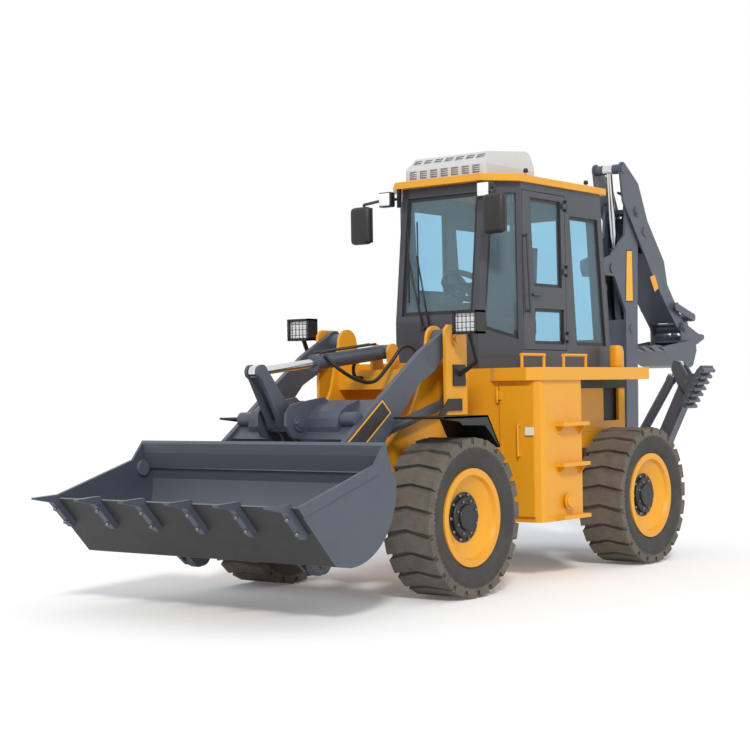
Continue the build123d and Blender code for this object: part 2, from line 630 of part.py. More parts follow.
# Front frame: tower plates, the tongue to the articulation and the cross plates.
INNER_IN = 410
INNER_OUT = 435
EAR_IN = 600
EAR_OUT = 625
TOWER_REAR_X = 1066
with BuildPart() as front_frame:
    inner_plate = [
        (TOWER_REAR_X, AXLE_PAD_TOP), (TOWER_REAR_X, 1780), (1108, 1900), (1304, 1900), (1330, 1800),
        (1420, 1500), (1520, 1330), (1760, 1130), (1990, 960), (2050, 890), (2050, 760), (1960, AXLE_PAD_TOP),
    ]
    pair_y(inner_plate, INNER_IN, INNER_OUT)
    disc_pair_y(ARM_PIN, 108, INNER_IN, INNER_OUT)
    ear_plate = [
        (TOWER_REAR_X, 1300), (TOWER_REAR_X, 1930), (1100, 1973), (1300, 1973), (1341, 1930), (1341, 1300),
    ]
    pair_y(ear_plate, EAR_IN, EAR_OUT)
    block(TOWER_REAR_X, TOWER_REAR_X + 14, -EAR_OUT, EAR_OUT, 1300, 1700)
    block(TOWER_REAR_X, TOWER_REAR_X + 14, -INNER_OUT, INNER_OUT, AXLE_PAD_TOP - 200, 1300)
    block(TOWER_REAR_X, 1840, -INNER_IN, INNER_IN, 800, 820)
    block(1140, 1330, -INNER_IN, INNER_IN, 1500, 1650)
    tilt_lug = [(1190, 1640), (1330, 1640), (1336, 1790), (1220, 1790)]
    pair_y(tilt_lug, 66, 92)
    disc_pair_y(TILT_BASE, 62, 66, 92)
    tongue = [
        (TOWER_REAR_X + 5, -300), (950, -160), (STEER_X, -130), (STEER_X, 130), (950, 160),
        (TOWER_REAR_X + 5, 300),
    ]
    slab_z(tongue, TONGUE_LOW + 35, TONGUE_HIGH - 30)
    disc_z(STEER_X, 0, 130, TONGUE_LOW, TONGUE_HIGH)
    disc_z(STEER_X, 0, STEER_PIN_R + RUNNING, TONGUE_LOW - 5, TONGUE_HIGH + 5, Mode.SUBTRACT)
    disc_pair_y(ARM_PIN, ARM_PIN_R, INNER_IN, EAR_OUT)
    disc_pair_y(LIFT_BASE, RAM_PIN_R, INNER_OUT - 5, LIFT_MID + LIFT_HALF + 8)
    disc_y(TILT_BASE, RAM_PIN_R, -80, 80)
front_frame.part.label = "front_frame"
export_step(front_frame.part, "parts/front_frame.step")

FENDER_IN = 630
FENDER_OUT = 1060
with BuildPart() as front_fenders:
    guard = [
        (1279, 1057), (1441, 1301), (2001, 1299), (2150, 1150), (2139, 1139), (1995, 1284), (1449, 1286),
        (1292, 1049),
    ]
    pair_y(guard, FENDER_IN, FENDER_OUT)
    carrier = [(1150, 1330), (1150, 1420), (1320, 1420), (1460, 1295), (1440, 1280), (1330, 1330)]
    pair_y(carrier, EAR_OUT, EAR_OUT + 12)
front_fenders.part.label = "front_fenders"
export_step(front_fenders.part, "parts/front_fenders.step")

with BuildPart() as work_lamps:
    for lamp_side in (1, -1):
        y_a, y_b = sorted((lamp_side * EAR_OUT, lamp_side * (EAR_OUT + 12)))
        block(1102, 1256, y_a, y_b, 1515, 1675)
        bar((1180, lamp_side * (EAR_OUT + 12), 1600), (1180, lamp_side * 805, 1700), 18)
        bar((1180, lamp_side * 800, 1692), (1285, lamp_side * 805, 1910), 18)
        y_a, y_b = sorted((lamp_side * 712, lamp_side * 898))
        block(1240, 1325, y_a, y_b, 1915, 2050)
work_lamps.part.label = "work_lamps"
export_step(work_lamps.part, "parts/work_lamps.step")

# Loader arms with their cross tube, torsion boxes, rocker brackets and pin bosses.
BRACKET_IN = 122
BRACKET_OUT = 147
with BuildPart() as lift_arms:
    arm = [
        (1125, 1930), (1206, 1965), (1283, 1930), (1604, 1766), (2094, 1430), (2490, 1146), (2560, 1060),
        (2600, 950), (2618, 861), (2650, 690), (2715, 560), (2800, 440), (2850, 400), (2850, 300),
        (2720, 290), (2600, 450), (2480, 700), (2330, 930), (2056, 1111), (1610, 1540), (1430, 1625),
        (1283, 1755), (1206, 1765), (1125, 1800),
    ]
    pair_y(arm, ARM_IN, ARM_OUT)
    disc_pair_y(ARM_PIN, 100, ARM_IN, ARM_OUT)
    disc_pair_y(ARM_PIN, 78, INNER_OUT + SIDE_GAP, EAR_IN - SIDE_GAP)
    disc_pair_y(BUCKET_PIN, 95, ARM_IN - 5, ARM_OUT + 5)
    disc_pair_y(LIFT_EYE, 70, 516, ARM_OUT)
    disc_y((2300, 1290), 55, -ARM_IN - 10, ARM_IN + 10)
    bracket = [
        (2100, 1395), (2180, 1450), (2540, 1402), (2598, 1340), (2604, 1250), (2548, 1172), (2440, 1150), (2200, 1195),
    ]
    pair_y(bracket, BRACKET_IN, BRACKET_OUT)
    torsion_box = [(2095, 1425), (2430, 1155), (2405, 1122), (2360, 1140), (2110, 1345), (2075, 1395)]
    pair_y(torsion_box, BRACKET_IN, ARM_IN + 5)
    bore_pair_y(ARM_PIN, ARM_PIN_R, INNER_OUT, EAR_IN)
    disc_pair_y(BUCKET_PIN, BUCKET_PIN_R, 500, 620)
    disc_y(ROCKER_PIN, ROCKER_PIN_R, -BRACKET_OUT, BRACKET_OUT)
lift_arms.part.label = "lift_arms"
export_step(lift_arms.part, "parts/lift_arms.step")

with BuildPart() as lift_cylinder_barrels:
    for ram_side in (1, -1):
        ram_barrel(on_y(LIFT_BASE, ram_side * LIFT_MID), on_y(LIFT_EYE, ram_side * LIFT_MID), ALONG_Y, 38, 820,
                   LIFT_ROD_R, 48, LIFT_HALF)
lift_cylinder_barrels.part.label = "lift_cylinder_barrels"
export_step(lift_cylinder_barrels.part, "parts/lift_cylinder_barrels.step")

with BuildPart() as lift_cylinder_rods:
    for ram_side in (1, -1):
        ram_rod(on_y(LIFT_BASE, ram_side * LIFT_MID), on_y(LIFT_EYE, ram_side * LIFT_MID), ALONG_Y, LIFT_ROD_R, 190,
                45, LIFT_HALF)
lift_cylinder_rods.part.label = "lift_cylinder_rods"
export_step(lift_cylinder_rods.part, "parts/lift_cylinder_rods.step")

with BuildPart() as tilt_cylinder_barrel:
    ram_barrel(on_y(TILT_BASE), on_y(ROCKER_TOP), ALONG_Y, 55, 850, TILT_ROD_R, 55, 60)
tilt_cylinder_barrel.part.label = "tilt_cylinder_barrel"
export_step(tilt_cylinder_barrel.part, "parts/tilt_cylinder_barrel.step")

with BuildPart() as tilt_cylinder_rod:
    ram_rod(on_y(TILT_BASE), on_y(ROCKER_TOP), ALONG_Y, TILT_ROD_R, 640, 45, 30)
tilt_cylinder_rod.part.label = "tilt_cylinder_rod"
export_step(tilt_cylinder_rod.part, "parts/tilt_cylinder_rod.step")

with BuildPart() as rocker:
    cheek = [
        (2705, 1655), (2760, 1680), (2795, 1640), (2560, 1240), (2440, 1190), (2155, 800), (2110, 780),
        (2072, 860), (2390, 1290), (2440, 1350),
    ]
    pair_y(cheek, 38, 64)
    disc_pair_y(ROCKER_TOP, 50, 38, 64)
    disc_pair_y(ROCKER_LOW, 55, 38, 64)
    disc_y(ROCKER_PIN, 66, -116, 116)
    bore_y(ROCKER_PIN, ROCKER_PIN_R, -120, 120)
rocker.part.label = "rocker"
export_step(rocker.part, "parts/rocker.step")

with BuildPart() as bucket_link:
    bar(on_y(ROCKER_LOW), on_y(BUCKET_LINK_PIN), 30)
    disc_y(ROCKER_LOW, 48, -32, 32)
    disc_y(BUCKET_LINK_PIN, 48, -32, 32)
    bore_y(BUCKET_LINK_PIN, RAM_PIN_R, -40, 40)
bucket_link.part.label = "bucket_link"
export_step(bucket_link.part, "parts/bucket_link.step")

# Loader bucket: rolled shell with end plates, hinge ears and six teeth.
LOADER_HALF = 1134
PLATE = 20
TOOTH_STEP = (LOADER_HALF - 74) / 2.5
# A tooth grips the lip and runs down the outside of the floor.
TOOTH = [
    (3856, 782), (3700, 752), (3530, 574), (3500, 584), (3497, 604), (3640, 772), (3650, 806), (3856, 796),
]
with BuildPart() as loader_bucket:
    with BuildSketch(Plane.XZ.offset(-LOADER_HALF)) as outline:
        with BuildLine():
            Polyline((3145, 365), (3291, 387), (3657, 778), (2872, 1010), (2757, 1150), (2734, 1067), (2649, 870))
            ThreePointArc((2649, 870), (2791.4, 511.4), (3145, 365))
        make_face()
    extrude(outline.sketch, amount=2 * LOADER_HALF)
    link_ear = [(2552, 790), (2700, 900), (2705, 600), (2552, 712)]
    pair_y(link_ear, 38, 64)
    disc_pair_y(BUCKET_LINK_PIN, 52, 38, 64)
    hinge_ear = [(2700, 700), (2705, 345), (2760, 268), (2850, 270), (3010, 400), (2960, 520), (2800, 600)]
    pair_y(hinge_ear, 500, 530)
    pair_y(hinge_ear, 590, 620)
    disc_pair_y(BUCKET_PIN, 85, 500, 530)
    disc_pair_y(BUCKET_PIN, 85, 590, 620)
    with BuildSketch(Plane.XZ.offset(-LOADER_HALF + PLATE)) as hollow:
        with BuildLine():
            Polyline((3145, 385), (3282, 406), (3628, 776), (3700, 860), (2960, 1300), (2777, 1300), (2777, 1143),
                     (2754, 1060), (2669, 868))
            ThreePointArc((2669, 868), (2805.6, 525.6), (3145, 385))
        make_face()
    extrude(hollow.sketch, amount=2 * (LOADER_HALF - PLATE), mode=Mode.SUBTRACT)
    for tooth in range(6):
        tooth_y = (tooth - 2.5) * TOOTH_STEP
        slab_y(TOOTH, tooth_y - 24, tooth_y + 24)
    edge_strip = [(3657, 778), (2872, 1010), (2848, 948), (3602, 719)]
    pair_y(edge_strip, LOADER_HALF - 4, LOADER_HALF + 10)
    bore_pair_y(BUCKET_PIN, BUCKET_PIN_R, 495, 625)
    disc_y(BUCKET_LINK_PIN, RAM_PIN_R, -64, 64)
loader_bucket.part.label = "loader_bucket"
export_step(loader_bucket.part, "parts/loader_bucket.step")

# Backhoe frame: cross box, slots for the legs and the lugs that carry the swing post.
LUG_LOW = 500
LUG_TOP = 905
LUG_PLATE = 50
SLOT_FRONT_X = -1855
SLOT_REAR_X = -1995
with BuildPart() as backhoe_frame:
    block(SLOT_FRONT_X, -1640, -560, 560, 450, 1000)
    block(SLOT_FRONT_X + 20, -1660, -540, 540, 440, 980, Mode.SUBTRACT)
    block(SLOT_REAR_X, SLOT_FRONT_X, -220, 220, 450, 1000)
    block(SLOT_REAR_X - 30, SLOT_REAR_X, -560, 560, 450, 1000)
    lug = [
        (SLOT_REAR_X - 5, -240), (-2060, -60), (SWING_X, -60), (SWING_X, 60), (-2060, 60), (SLOT_REAR_X - 5, 240),
    ]
    for lug_z in (LUG_LOW, LUG_TOP - LUG_PLATE):
        slab_z(lug, lug_z, lug_z + LUG_PLATE)
        disc_z(SWING_X, 0, 88, lug_z, lug_z + LUG_PLATE)
    disc_z(SWING_X, 0, SWING_PIN_R, LUG_LOW, LUG_TOP)
    for leg_side in (1, -1):
        leg_pin = (leg_side * LEG_PIN[0], LEG_PIN[1])
        ram_pin = (leg_side * LEG_RAM_BASE[0], LEG_RAM_BASE[1])
        disc_x(leg_pin, LEG_PIN_R, SLOT_REAR_X - 5, SLOT_FRONT_X + 10)
        disc_x(ram_pin, RAM_PIN_R, SLOT_REAR_X - 5, SLOT_FRONT_X + 10)
backhoe_frame.part.label = "backhoe_frame"
export_step(backhoe_frame.part, "parts/backhoe_frame.step")

POST_IN = 60
POST_OUT = 94
with BuildPart() as swing_post:
    cheek = [
        (-2165, 556), (-2330, 556), (-2458, 700), (-2458, 830), (-2425, 920), (-2330, 1000), (-2240, 1120),
        (-2160, 1162), (-2090, 1150), (-2078, 1090), (-2110, 1000), (-2140, 912), (-2327, 912), (-2327, 849),
        (-2165, 849),
    ]
    pair_y(cheek, POST_IN, POST_OUT)
    disc_z(SWING_X, 0, 84, LUG_LOW + LUG_PLATE + SIDE_GAP, LUG_TOP - LUG_PLATE - SIDE_GAP)
    block(-2330, SWING_X, -POST_OUT, POST_OUT, 556, 849)
    disc_z(SWING_X, 0, SWING_PIN_R + RUNNING, LUG_LOW, LUG_TOP, Mode.SUBTRACT)
    disc_y(BOOM_FOOT, BOOM_PIN_R, -BOOM_OUT, BOOM_OUT)
    disc_y(BOOM_RAM_BASE, RAM_PIN_R, -POST_OUT, POST_OUT)
swing_post.part.label = "swing_post"
export_step(swing_post.part, "parts/swing_post.step")

# Boom: two plates with a front and a rear flange between them.
with BuildPart() as boom:
    side_plate = [
        (-2308, 740), (-2289, 1129), (-2302, 1739), (-2309, 2195), (-2104, 2520), (-1935, 2520), (-1903, 2590),
        (-1903, 2666), (-2061, 2716), (-2320, 2918), (-2350, 3200), (-2420, 3240), (-2560, 3240),
        (-2601, 3127), (-2554, 2744), (-2524, 1835), (-2512, 1123), (-2470, 740),
    ]
    pair_y(side_plate, BOOM_IN, BOOM_OUT)
    disc_pair_y(BOOM_FOOT, 78, BOOM_IN, BOOM_OUT)
    front_flange = [(-2290, 1190), (-2302, 1739), (-2307.4, 2120), (-2325, 2120), (-2319, 1739), (-2308, 1190)]
    slab_y(front_flange, -BOOM_IN - 10, BOOM_IN + 10)
    rear_flange = [
        (-2512, 1000), (-2524, 1835), (-2554, 2744), (-2598, 3100), (-2580, 3100), (-2537, 2744), (-2507, 1835),
        (-2495, 1000),
    ]
    slab_y(rear_flange, -BOOM_IN - 10, BOOM_IN + 10)
    disc_pair_y(BOOM_NOSE, 46, 58, BOOM_OUT + 12)
    disc_pair_y(DIPPER_RAM_BASE, 44, 58, BOOM_OUT + 6)
    bore_pair_y(BOOM_FOOT, BOOM_PIN_R, BOOM_IN - 5, BOOM_OUT + 5)
    disc_y(DIPPER_RAM_BASE, RAM_PIN_R, -BOOM_OUT, BOOM_OUT)
    disc_y(DIPPER_PIN, BOOM_PIN_R, -DIPPER_OUT, DIPPER_OUT)
boom.part.label = "boom"
export_step(boom.part, "parts/boom.step")

with BuildPart() as boom_cylinder_barrel:
    ram_barrel(on_y(BOOM_RAM_BASE), on_y(BOOM_NOSE), ALONG_Y, 48, 1400, BOOM_ROD_R, 48, 52)
boom_cylinder_barrel.part.label = "boom_cylinder_barrel"
export_step(boom_cylinder_barrel.part, "parts/boom_cylinder_barrel.step")

with BuildPart() as boom_cylinder_rod:
    ram_rod(on_y(BOOM_RAM_BASE), on_y(BOOM_NOSE), ALONG_Y, BOOM_ROD_R, 110, 44, 50)
boom_cylinder_rod.part.label = "boom_cylinder_rod"
export_step(boom_cylinder_rod.part, "parts/boom_cylinder_rod.step")

# Dipper: plates that straddle the boom head, a box further out and the bucket ram between them.
with BuildPart() as dipper:
    side_plate = [
        (-2199, 3510), (-2250, 3225), (-2796, 2566), (-2958, 2383), (-3256, 2091), (-3345, 2015),
        (-3440, 2095), (-3365, 2180), (-3098, 2477), (-3038, 2699), (-2715, 3073), (-2545, 3415), (-2285, 3590),
    ]
    pair_y(side_plate, DIPPER_IN, DIPPER_OUT)
    disc_pair_y(DIPPER_TAIL, 64, DIPPER_IN, DIPPER_OUT)
    disc_pair_y(DIPPER_TAIL, 46, 58, DIPPER_OUT + 8)
    disc_pair_y(SCOOP_PIN, 62, DIPPER_IN, DIPPER_OUT)
    disc_pair_y(GUIDE_PIN, 40, DIPPER_IN, 172)
    disc_pair_y(SCOOP_RAM_BASE, 46, 58, DIPPER_OUT + 8)
    inner_flange = [
        (-2640, 2755), (-2796, 2566), (-2958, 2383), (-3240, 2107), (-3252, 2119), (-2970, 2396), (-2809, 2577),
        (-2654, 2766),
    ]
    slab_y(inner_flange, -DIPPER_IN - 8, DIPPER_IN + 8)
    slab_y([(-3120, 2452), (-3340, 2208), (-3328, 2196), (-3106, 2442)], -DIPPER_IN - 8, DIPPER_IN + 8)
    disc_y(SCOOP_PIN, 50, -DIPPER_IN - 8, DIPPER_IN + 8)
    bore_pair_y(DIPPER_PIN, BOOM_PIN_R, DIPPER_IN - 5, DIPPER_OUT + 5)
    disc_y(SCOOP_PIN, SCOOP_PIN_R, -172, 172)
    disc_y(SCOOP_RAM_BASE, RAM_PIN_R, -DIPPER_OUT, DIPPER_OUT)
    disc_pair_y(GUIDE_PIN, GUIDE_PIN_R, DIPPER_IN, GUIDE_OUT)
dipper.part.label = "dipper"
export_step(dipper.part, "parts/dipper.step")

with BuildPart() as dipper_cylinder_barrel:
    ram_barrel(on_y(DIPPER_RAM_BASE), on_y(DIPPER_TAIL), ALONG_Y, 45, 765, DIPPER_ROD_R, 45, 52)
dipper_cylinder_barrel.part.label = "dipper_cylinder_barrel"
export_step(dipper_cylinder_barrel.part, "parts/dipper_cylinder_barrel.step")

with BuildPart() as dipper_cylinder_rod:
    ram_rod(on_y(DIPPER_RAM_BASE), on_y(DIPPER_TAIL), ALONG_Y, DIPPER_ROD_R, 715, 44, 50)
dipper_cylinder_rod.part.label = "dipper_cylinder_rod"
export_step(dipper_cylinder_rod.part, "parts/dipper_cylinder_rod.step")

with BuildPart() as bucket_cylinder_barrel:
    ram_barrel(on_y(SCOOP_RAM_BASE), on_y(GUIDE_TIP), ALONG_Y, 42, 640, SCOOP_ROD_R, 44, 52)
bucket_cylinder_barrel.part.label = "bucket_cylinder_barrel"
export_step(bucket_cylinder_barrel.part, "parts/bucket_cylinder_barrel.step")

with BuildPart() as bucket_cylinder_rod:
    ram_rod(on_y(SCOOP_RAM_BASE), on_y(GUIDE_TIP), ALONG_Y, SCOOP_ROD_R, 570, 44, 46)
bucket_cylinder_rod.part.label = "bucket_cylinder_rod"
export_step(bucket_cylinder_rod.part, "parts/bucket_cylinder_rod.step")

with BuildPart() as guide_link:
    strap = [(-3205, 2303), (-3555, 2208), (-3590, 2150), (-3566, 2132), (-3222, 2227)]
    pair_y(strap, GUIDE_IN, GUIDE_OUT)
    disc_pair_y(GUIDE_PIN, 42, GUIDE_IN, GUIDE_OUT)
    disc_pair_y(GUIDE_TIP, 40, GUIDE_IN, GUIDE_OUT)
    bore_pair_y(GUIDE_PIN, GUIDE_PIN_R, GUIDE_IN - 5, GUIDE_OUT + 5)
    disc_pair_y(GUIDE_TIP, GUIDE_PIN_R, 120, GUIDE_OUT)
guide_link.part.label = "guide_link"
export_step(guide_link.part, "parts/guide_link.step")

with BuildPart() as scoop_link:
    strap = [(-3526, 2150), (-3594, 2190), (-3724, 1980), (-3656, 1940)]
    pair_y(strap, 62, 88)
    disc_pair_y(GUIDE_TIP, 40, 54, 172)
    disc_y(SCOOP_LINK_PIN, 40, -150, 150)
    bore_pair_y(GUIDE_TIP, GUIDE_PIN_R, 115, 178)
scoop_link.part.label = "scoop_link"
export_step(scoop_link.part, "parts/scoop_link.step")

# Backhoe bucket.
with BuildPart() as backhoe_bucket:
    outline = [(-2765, 1862), (-3412, 1937), (-3500, 1925), (-3520, 1840), (-3440, 1690), (-3380, 1668), (-3250, 1690)]
    slab_y(outline, -SCOOP_HALF, SCOOP_HALF)
    ear = [
        (-3360, 2085), (-3425, 2105), (-3700, 2010), (-3820, 2000), (-3830, 1960), (-3690, 1910), (-3510, 1850), (-3400, 1800),
        (-3335, 1900), (-3335, 2060),
    ]
    pair_y(ear, 156, 172)
    disc_pair_y(SCOOP_PIN, 58, 156, 172)
    disc_pair_y(SCOOP_LINK_PIN, 50, 156, 172)
    bowl = [
        (-2765, 1880), (-3405, 1953), (-3398, 1921), (-3484, 1912), (-3501, 1843), (-3428, 1707), (-3379, 1688),
        (-3257, 1708), (-2700, 1893),
    ]
    slab_y([(-2700, 2100), (-3390, 2100), (-3398, 1921)] + bowl[3:8] + [(-2700, 1886)],
           -SCOOP_HALF + 18, -174, Mode.SUBTRACT)
    slab_y([(-2700, 2100), (-3390, 2100), (-3398, 1921)] + bowl[3:8] + [(-2700, 1886)],
           174, SCOOP_HALF - 18, Mode.SUBTRACT)
    slab_y([(-2700, 2100), (-3390, 2100), (-3398, 1921)] + bowl[3:8] + [(-2700, 1886)],
           -154, 154, Mode.SUBTRACT)
    slab_y([(-2700, 2100), (-3320, 2100), (-3320, 1715), (-3257, 1708), (-2700, 1886)], -180, 180, Mode.SUBTRACT)
    for tooth in range(5):
        tooth_y = (tooth - 2) * 102
        slab_y([(-2860, 1822), (-2640, 1872), (-2640, 1884), (-2800, 1880), (-2880, 1858)], tooth_y - 22, tooth_y + 22)
    bore_pair_y(SCOOP_PIN, SCOOP_PIN_R, 150, 180)
backhoe_bucket.part.label = "backhoe_bucket"
export_step(backhoe_bucket.part, "parts/backhoe_bucket.step")

# Stabilisers, one on each side: leg, pad, cylinder barrel and rod.
# The pad's sole carries a row of grips along its outer face.
GRIP_COUNT = 7
GRIP_STEP = 60
GRIP_HEIGHT = 36
for side_name, side in [("left", 1), ("right", -1)]:
    leg_pin = (side * LEG_PIN[0], LEG_PIN[1])
    pad_pin = (side * PAD_PIN[0], PAD_PIN[1])
    ram_base = (LEG_X, side * LEG_RAM_BASE[0], LEG_RAM_BASE[1])
    ram_end = (LEG_X, side * LEG_RAM_EYE[0], LEG_RAM_EYE[1])
    with BuildPart() as stabiliser_leg:
        beam = [
            (side * 438, 587), (side * 905, 1540), (side * 960, 1580), (side * 1015, 1500), (side * 546, 533),
        ]
        slab_x(beam, LEG_X - LEG_HALF, LEG_X + LEG_HALF)
        disc_x(leg_pin, 62, LEG_X - LEG_HALF, LEG_X + LEG_HALF)
        disc_x(pad_pin, 58, LEG_X - LEG_HALF, LEG_X + LEG_HALF)
        horn = [(side * 880, 1480), (side * 812, 1640), (side * 840, 1718), (side * 900, 1700), (side * 985, 1560)]
        slab_x(horn, LEG_X - LEG_HALF, LEG_X - 34)
        slab_x(horn, LEG_X + 34, LEG_X + LEG_HALF)
        disc_x(leg_pin, LEG_PIN_R + RUNNING, LEG_X - 80, LEG_X + 80, Mode.SUBTRACT)
        disc_x(pad_pin, RAM_PIN_R, LEG_X, LEG_X + LEG_HALF + 25)
    stabiliser_leg.part.label = side_name + "_stabiliser_leg"
    export_step(stabiliser_leg.part, "parts/" + side_name + "_stabiliser_leg.step")

    with BuildPart() as stabiliser_pad:
        sole = [
            (side * 962, 1296), (side * 1168, 1657), (side * 1150, 1664), (side * 1110, 1625), (side * 950, 1350),
            (side * 945, 1300),
        ]
        slab_x(sole, LEG_X - LEG_HALF, LEG_X + 160)
        for grip in range(GRIP_COUNT):
            foot = 12 + grip * GRIP_STEP
            grip_outline = []
            for along, out in [(foot, -4), (foot, GRIP_HEIGHT), (foot + 20, GRIP_HEIGHT), (foot + 34, -4)]:
                grip_outline.append((side * (962 + 0.4957 * along + 0.8685 * out),
                                     1296 + 0.8685 * along - 0.4957 * out))
            slab_x(grip_outline, LEG_X - LEG_HALF, LEG_X + 160)
        cheek = [
            (side * 1010, 1360), (side * 1130, 1570), (side * 1080, 1600), (side * 955, 1585), (side * 905, 1500),
            (side * 960, 1420),
        ]
        slab_x(cheek, LEG_X + LEG_HALF + SIDE_GAP, LEG_X + LEG_HALF + 25)
        disc_x(pad_pin, RAM_PIN_R + RUNNING, LEG_X + LEG_HALF, LEG_X + 100, Mode.SUBTRACT)
    stabiliser_pad.part.label = side_name + "_stabiliser_pad"
    export_step(stabiliser_pad.part, "parts/" + side_name + "_stabiliser_pad.step")

    with BuildPart() as stabiliser_barrel:
        ram_barrel(ram_base, ram_end, ALONG_X, 42, 850, LEG_ROD_R, 46, 40)
    stabiliser_barrel.part.label = side_name + "_stabiliser_barrel"
    export_step(stabiliser_barrel.part, "parts/" + side_name + "_stabiliser_barrel.step")

    with BuildPart() as stabiliser_rod:
        ram_rod(ram_base, ram_end, ALONG_X, LEG_ROD_R, 110, 42, 28)
    stabiliser_rod.part.label = side_name + "_stabiliser_rod"
    export_step(stabiliser_rod.part, "parts/" + side_name + "_stabiliser_rod.step")
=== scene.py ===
import bmesh
import bpy
import json
import math
from mathutils import Matrix, Vector


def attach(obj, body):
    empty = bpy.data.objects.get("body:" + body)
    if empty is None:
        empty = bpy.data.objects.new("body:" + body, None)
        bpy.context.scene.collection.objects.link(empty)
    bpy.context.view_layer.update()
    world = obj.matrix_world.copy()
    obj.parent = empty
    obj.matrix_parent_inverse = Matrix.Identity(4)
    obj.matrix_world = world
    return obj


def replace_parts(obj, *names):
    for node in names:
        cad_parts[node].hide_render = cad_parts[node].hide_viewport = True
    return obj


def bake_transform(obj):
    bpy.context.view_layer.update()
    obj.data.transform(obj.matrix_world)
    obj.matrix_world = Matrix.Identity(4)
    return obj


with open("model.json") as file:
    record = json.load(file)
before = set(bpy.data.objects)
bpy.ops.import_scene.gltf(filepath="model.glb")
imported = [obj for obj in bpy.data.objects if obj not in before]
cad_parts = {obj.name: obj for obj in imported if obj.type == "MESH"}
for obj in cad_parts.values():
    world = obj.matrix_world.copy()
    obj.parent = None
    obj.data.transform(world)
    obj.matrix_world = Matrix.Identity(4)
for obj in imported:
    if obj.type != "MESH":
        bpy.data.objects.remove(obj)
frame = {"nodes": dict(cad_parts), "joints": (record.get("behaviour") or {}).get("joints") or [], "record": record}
SCENE = bpy.context.scene
# where the moving parts turn, by the name of the joint
PIN = {joint["name"]: joint.get("pos_m") for joint in frame["joints"]}


def save_bounds():
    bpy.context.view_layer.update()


save_bounds()


# materials
WEAR_START, WEAR_FULL = 0.42, 0.78
FINE_SCALE = 60
FINE_HEIGHT = 0.004
PANE_SCALE, PANE_LIGHTER, PANE_ROUGHNESS = 1.2, 1.06, 0.04


def node_tree(name):
    mat = bpy.data.materials.new(name)
    mat.use_nodes = True
    tree = mat.node_tree
    shader = tree.nodes["Principled BSDF"]
    return mat, tree, shader


def noise(tree, coords, scale, detail=2.0, roughness=0.5):
    """Noise over object coordinates."""
    node = tree.nodes.new("ShaderNodeTexNoise")
    node.inputs["Scale"].default_value = scale
    node.inputs["Detail"].default_value = detail
    node.inputs["Roughness"].default_value = roughness
    tree.links.new(coords.outputs["Object"], node.inputs["Vector"])
    return node


def paint(name, base, dirt, rough, dirt_share=0.25, scale=3.0, metallic=0.0, coat=0.0, bump=0.0):
    """Painted surface with soft uneven wear and, with a bump, a fine grain."""
    mat, tree, shader = node_tree(name)
    coords = tree.nodes.new("ShaderNodeTexCoord")
    wear = noise(tree, coords, scale, detail=8, roughness=0.65)
    ramp = tree.nodes.new("ShaderNodeValToRGB")
    worn = [b * (1 - dirt_share) + d * dirt_share for b, d in zip(base, dirt)]
    stops = ramp.color_ramp.elements
    for stop, position, colour in zip(stops, (WEAR_START, WEAR_FULL), (base, worn)):
        stop.position = position
        stop.color = (*colour, 1)
    tree.links.new(wear.outputs["Fac"], ramp.inputs["Fac"])
    tree.links.new(ramp.outputs["Color"], shader.inputs["Base Color"])
    shader.inputs["Roughness"].default_value = rough
    shader.inputs["Metallic"].default_value = metallic
    shader.inputs["Coat Weight"].default_value = coat
    if bump > 0:
        grain = noise(tree, coords, FINE_SCALE, detail=5)
        height = tree.nodes.new("ShaderNodeBump")
        height.inputs["Strength"].default_value = bump
        height.inputs["Distance"].default_value = FINE_HEIGHT
        tree.links.new(grain.outputs["Fac"], height.inputs["Height"])
        tree.links.new(height.outputs["Normal"], shader.inputs["Normal"])
    return mat


def glass(name, tint, gloss):
    """Clear tinted pane: mostly light passing straight through, and a share of sharp gloss."""
    mat, tree, shader = node_tree(name)
    coords = tree.nodes.new("ShaderNodeTexCoord")
    shade = noise(tree, coords, PANE_SCALE)
    ramp = tree.nodes.new("ShaderNodeValToRGB")
    ramp.color_ramp.elements[0].color = (*tint, 1)
    ramp.color_ramp.elements[1].color = tuple(min(1, v * PANE_LIGHTER) for v in tint) + (1,)
    clear = tree.nodes.new("ShaderNodeBsdfTransparent")
    mix = tree.nodes.new("ShaderNodeMixShader")
    mix.inputs["Fac"].default_value = gloss
    tree.links.new(shade.outputs["Fac"], ramp.inputs["Fac"])
    tree.links.new(ramp.outputs["Color"], clear.inputs["Color"])
    tree.links.new(ramp.outputs["Color"], shader.inputs["Base Color"])
    shader.inputs["Roughness"].default_value = PANE_ROUGHNESS
    tree.links.new(clear.outputs["BSDF"], mix.inputs[1])
    tree.links.new(shader.outputs["BSDF"], mix.inputs[2])
    tree.links.new(mix.outputs["Shader"], tree.nodes["Material Output"].inputs["Surface"])
    return mat


# in order: name, clean colour, worn colour, roughness, share of wear, scale of wear, metallic
YELLOW = paint("yellow_paint", (0.77, 0.345, 0.012), (0.58, 0.255, 0.01), 0.42, 0.22, 2.0, coat=0.10)
SLATE = paint("slate_paint", (0.060, 0.072, 0.100), (0.11, 0.115, 0.12), 0.42, 0.35, 2.5, coat=0.12)
CAB_GREY = paint("cab_paint", (0.040, 0.045, 0.058), (0.07, 0.07, 0.075), 0.40, 0.3, 2.5, coat=0.15)
DARK = paint("dark_paint", (0.022, 0.022, 0.024), (0.05, 0.047, 0.043), 0.5, 0.4, 4.0)
BLACK = paint("black_plastic", (0.012, 0.012, 0.013), (0.03, 0.03, 0.03), 0.45, 0.3, 5.0)
WHITE = paint("white_plastic", (0.55, 0.56, 0.55), (0.45, 0.46, 0.46), 0.35, 0.2, 3.0, coat=0.2)
TREAD = paint("tread_dust", (0.140, 0.122, 0.100), (0.060, 0.053, 0.047), 0.9, 0.75, 7.0, bump=0.6)
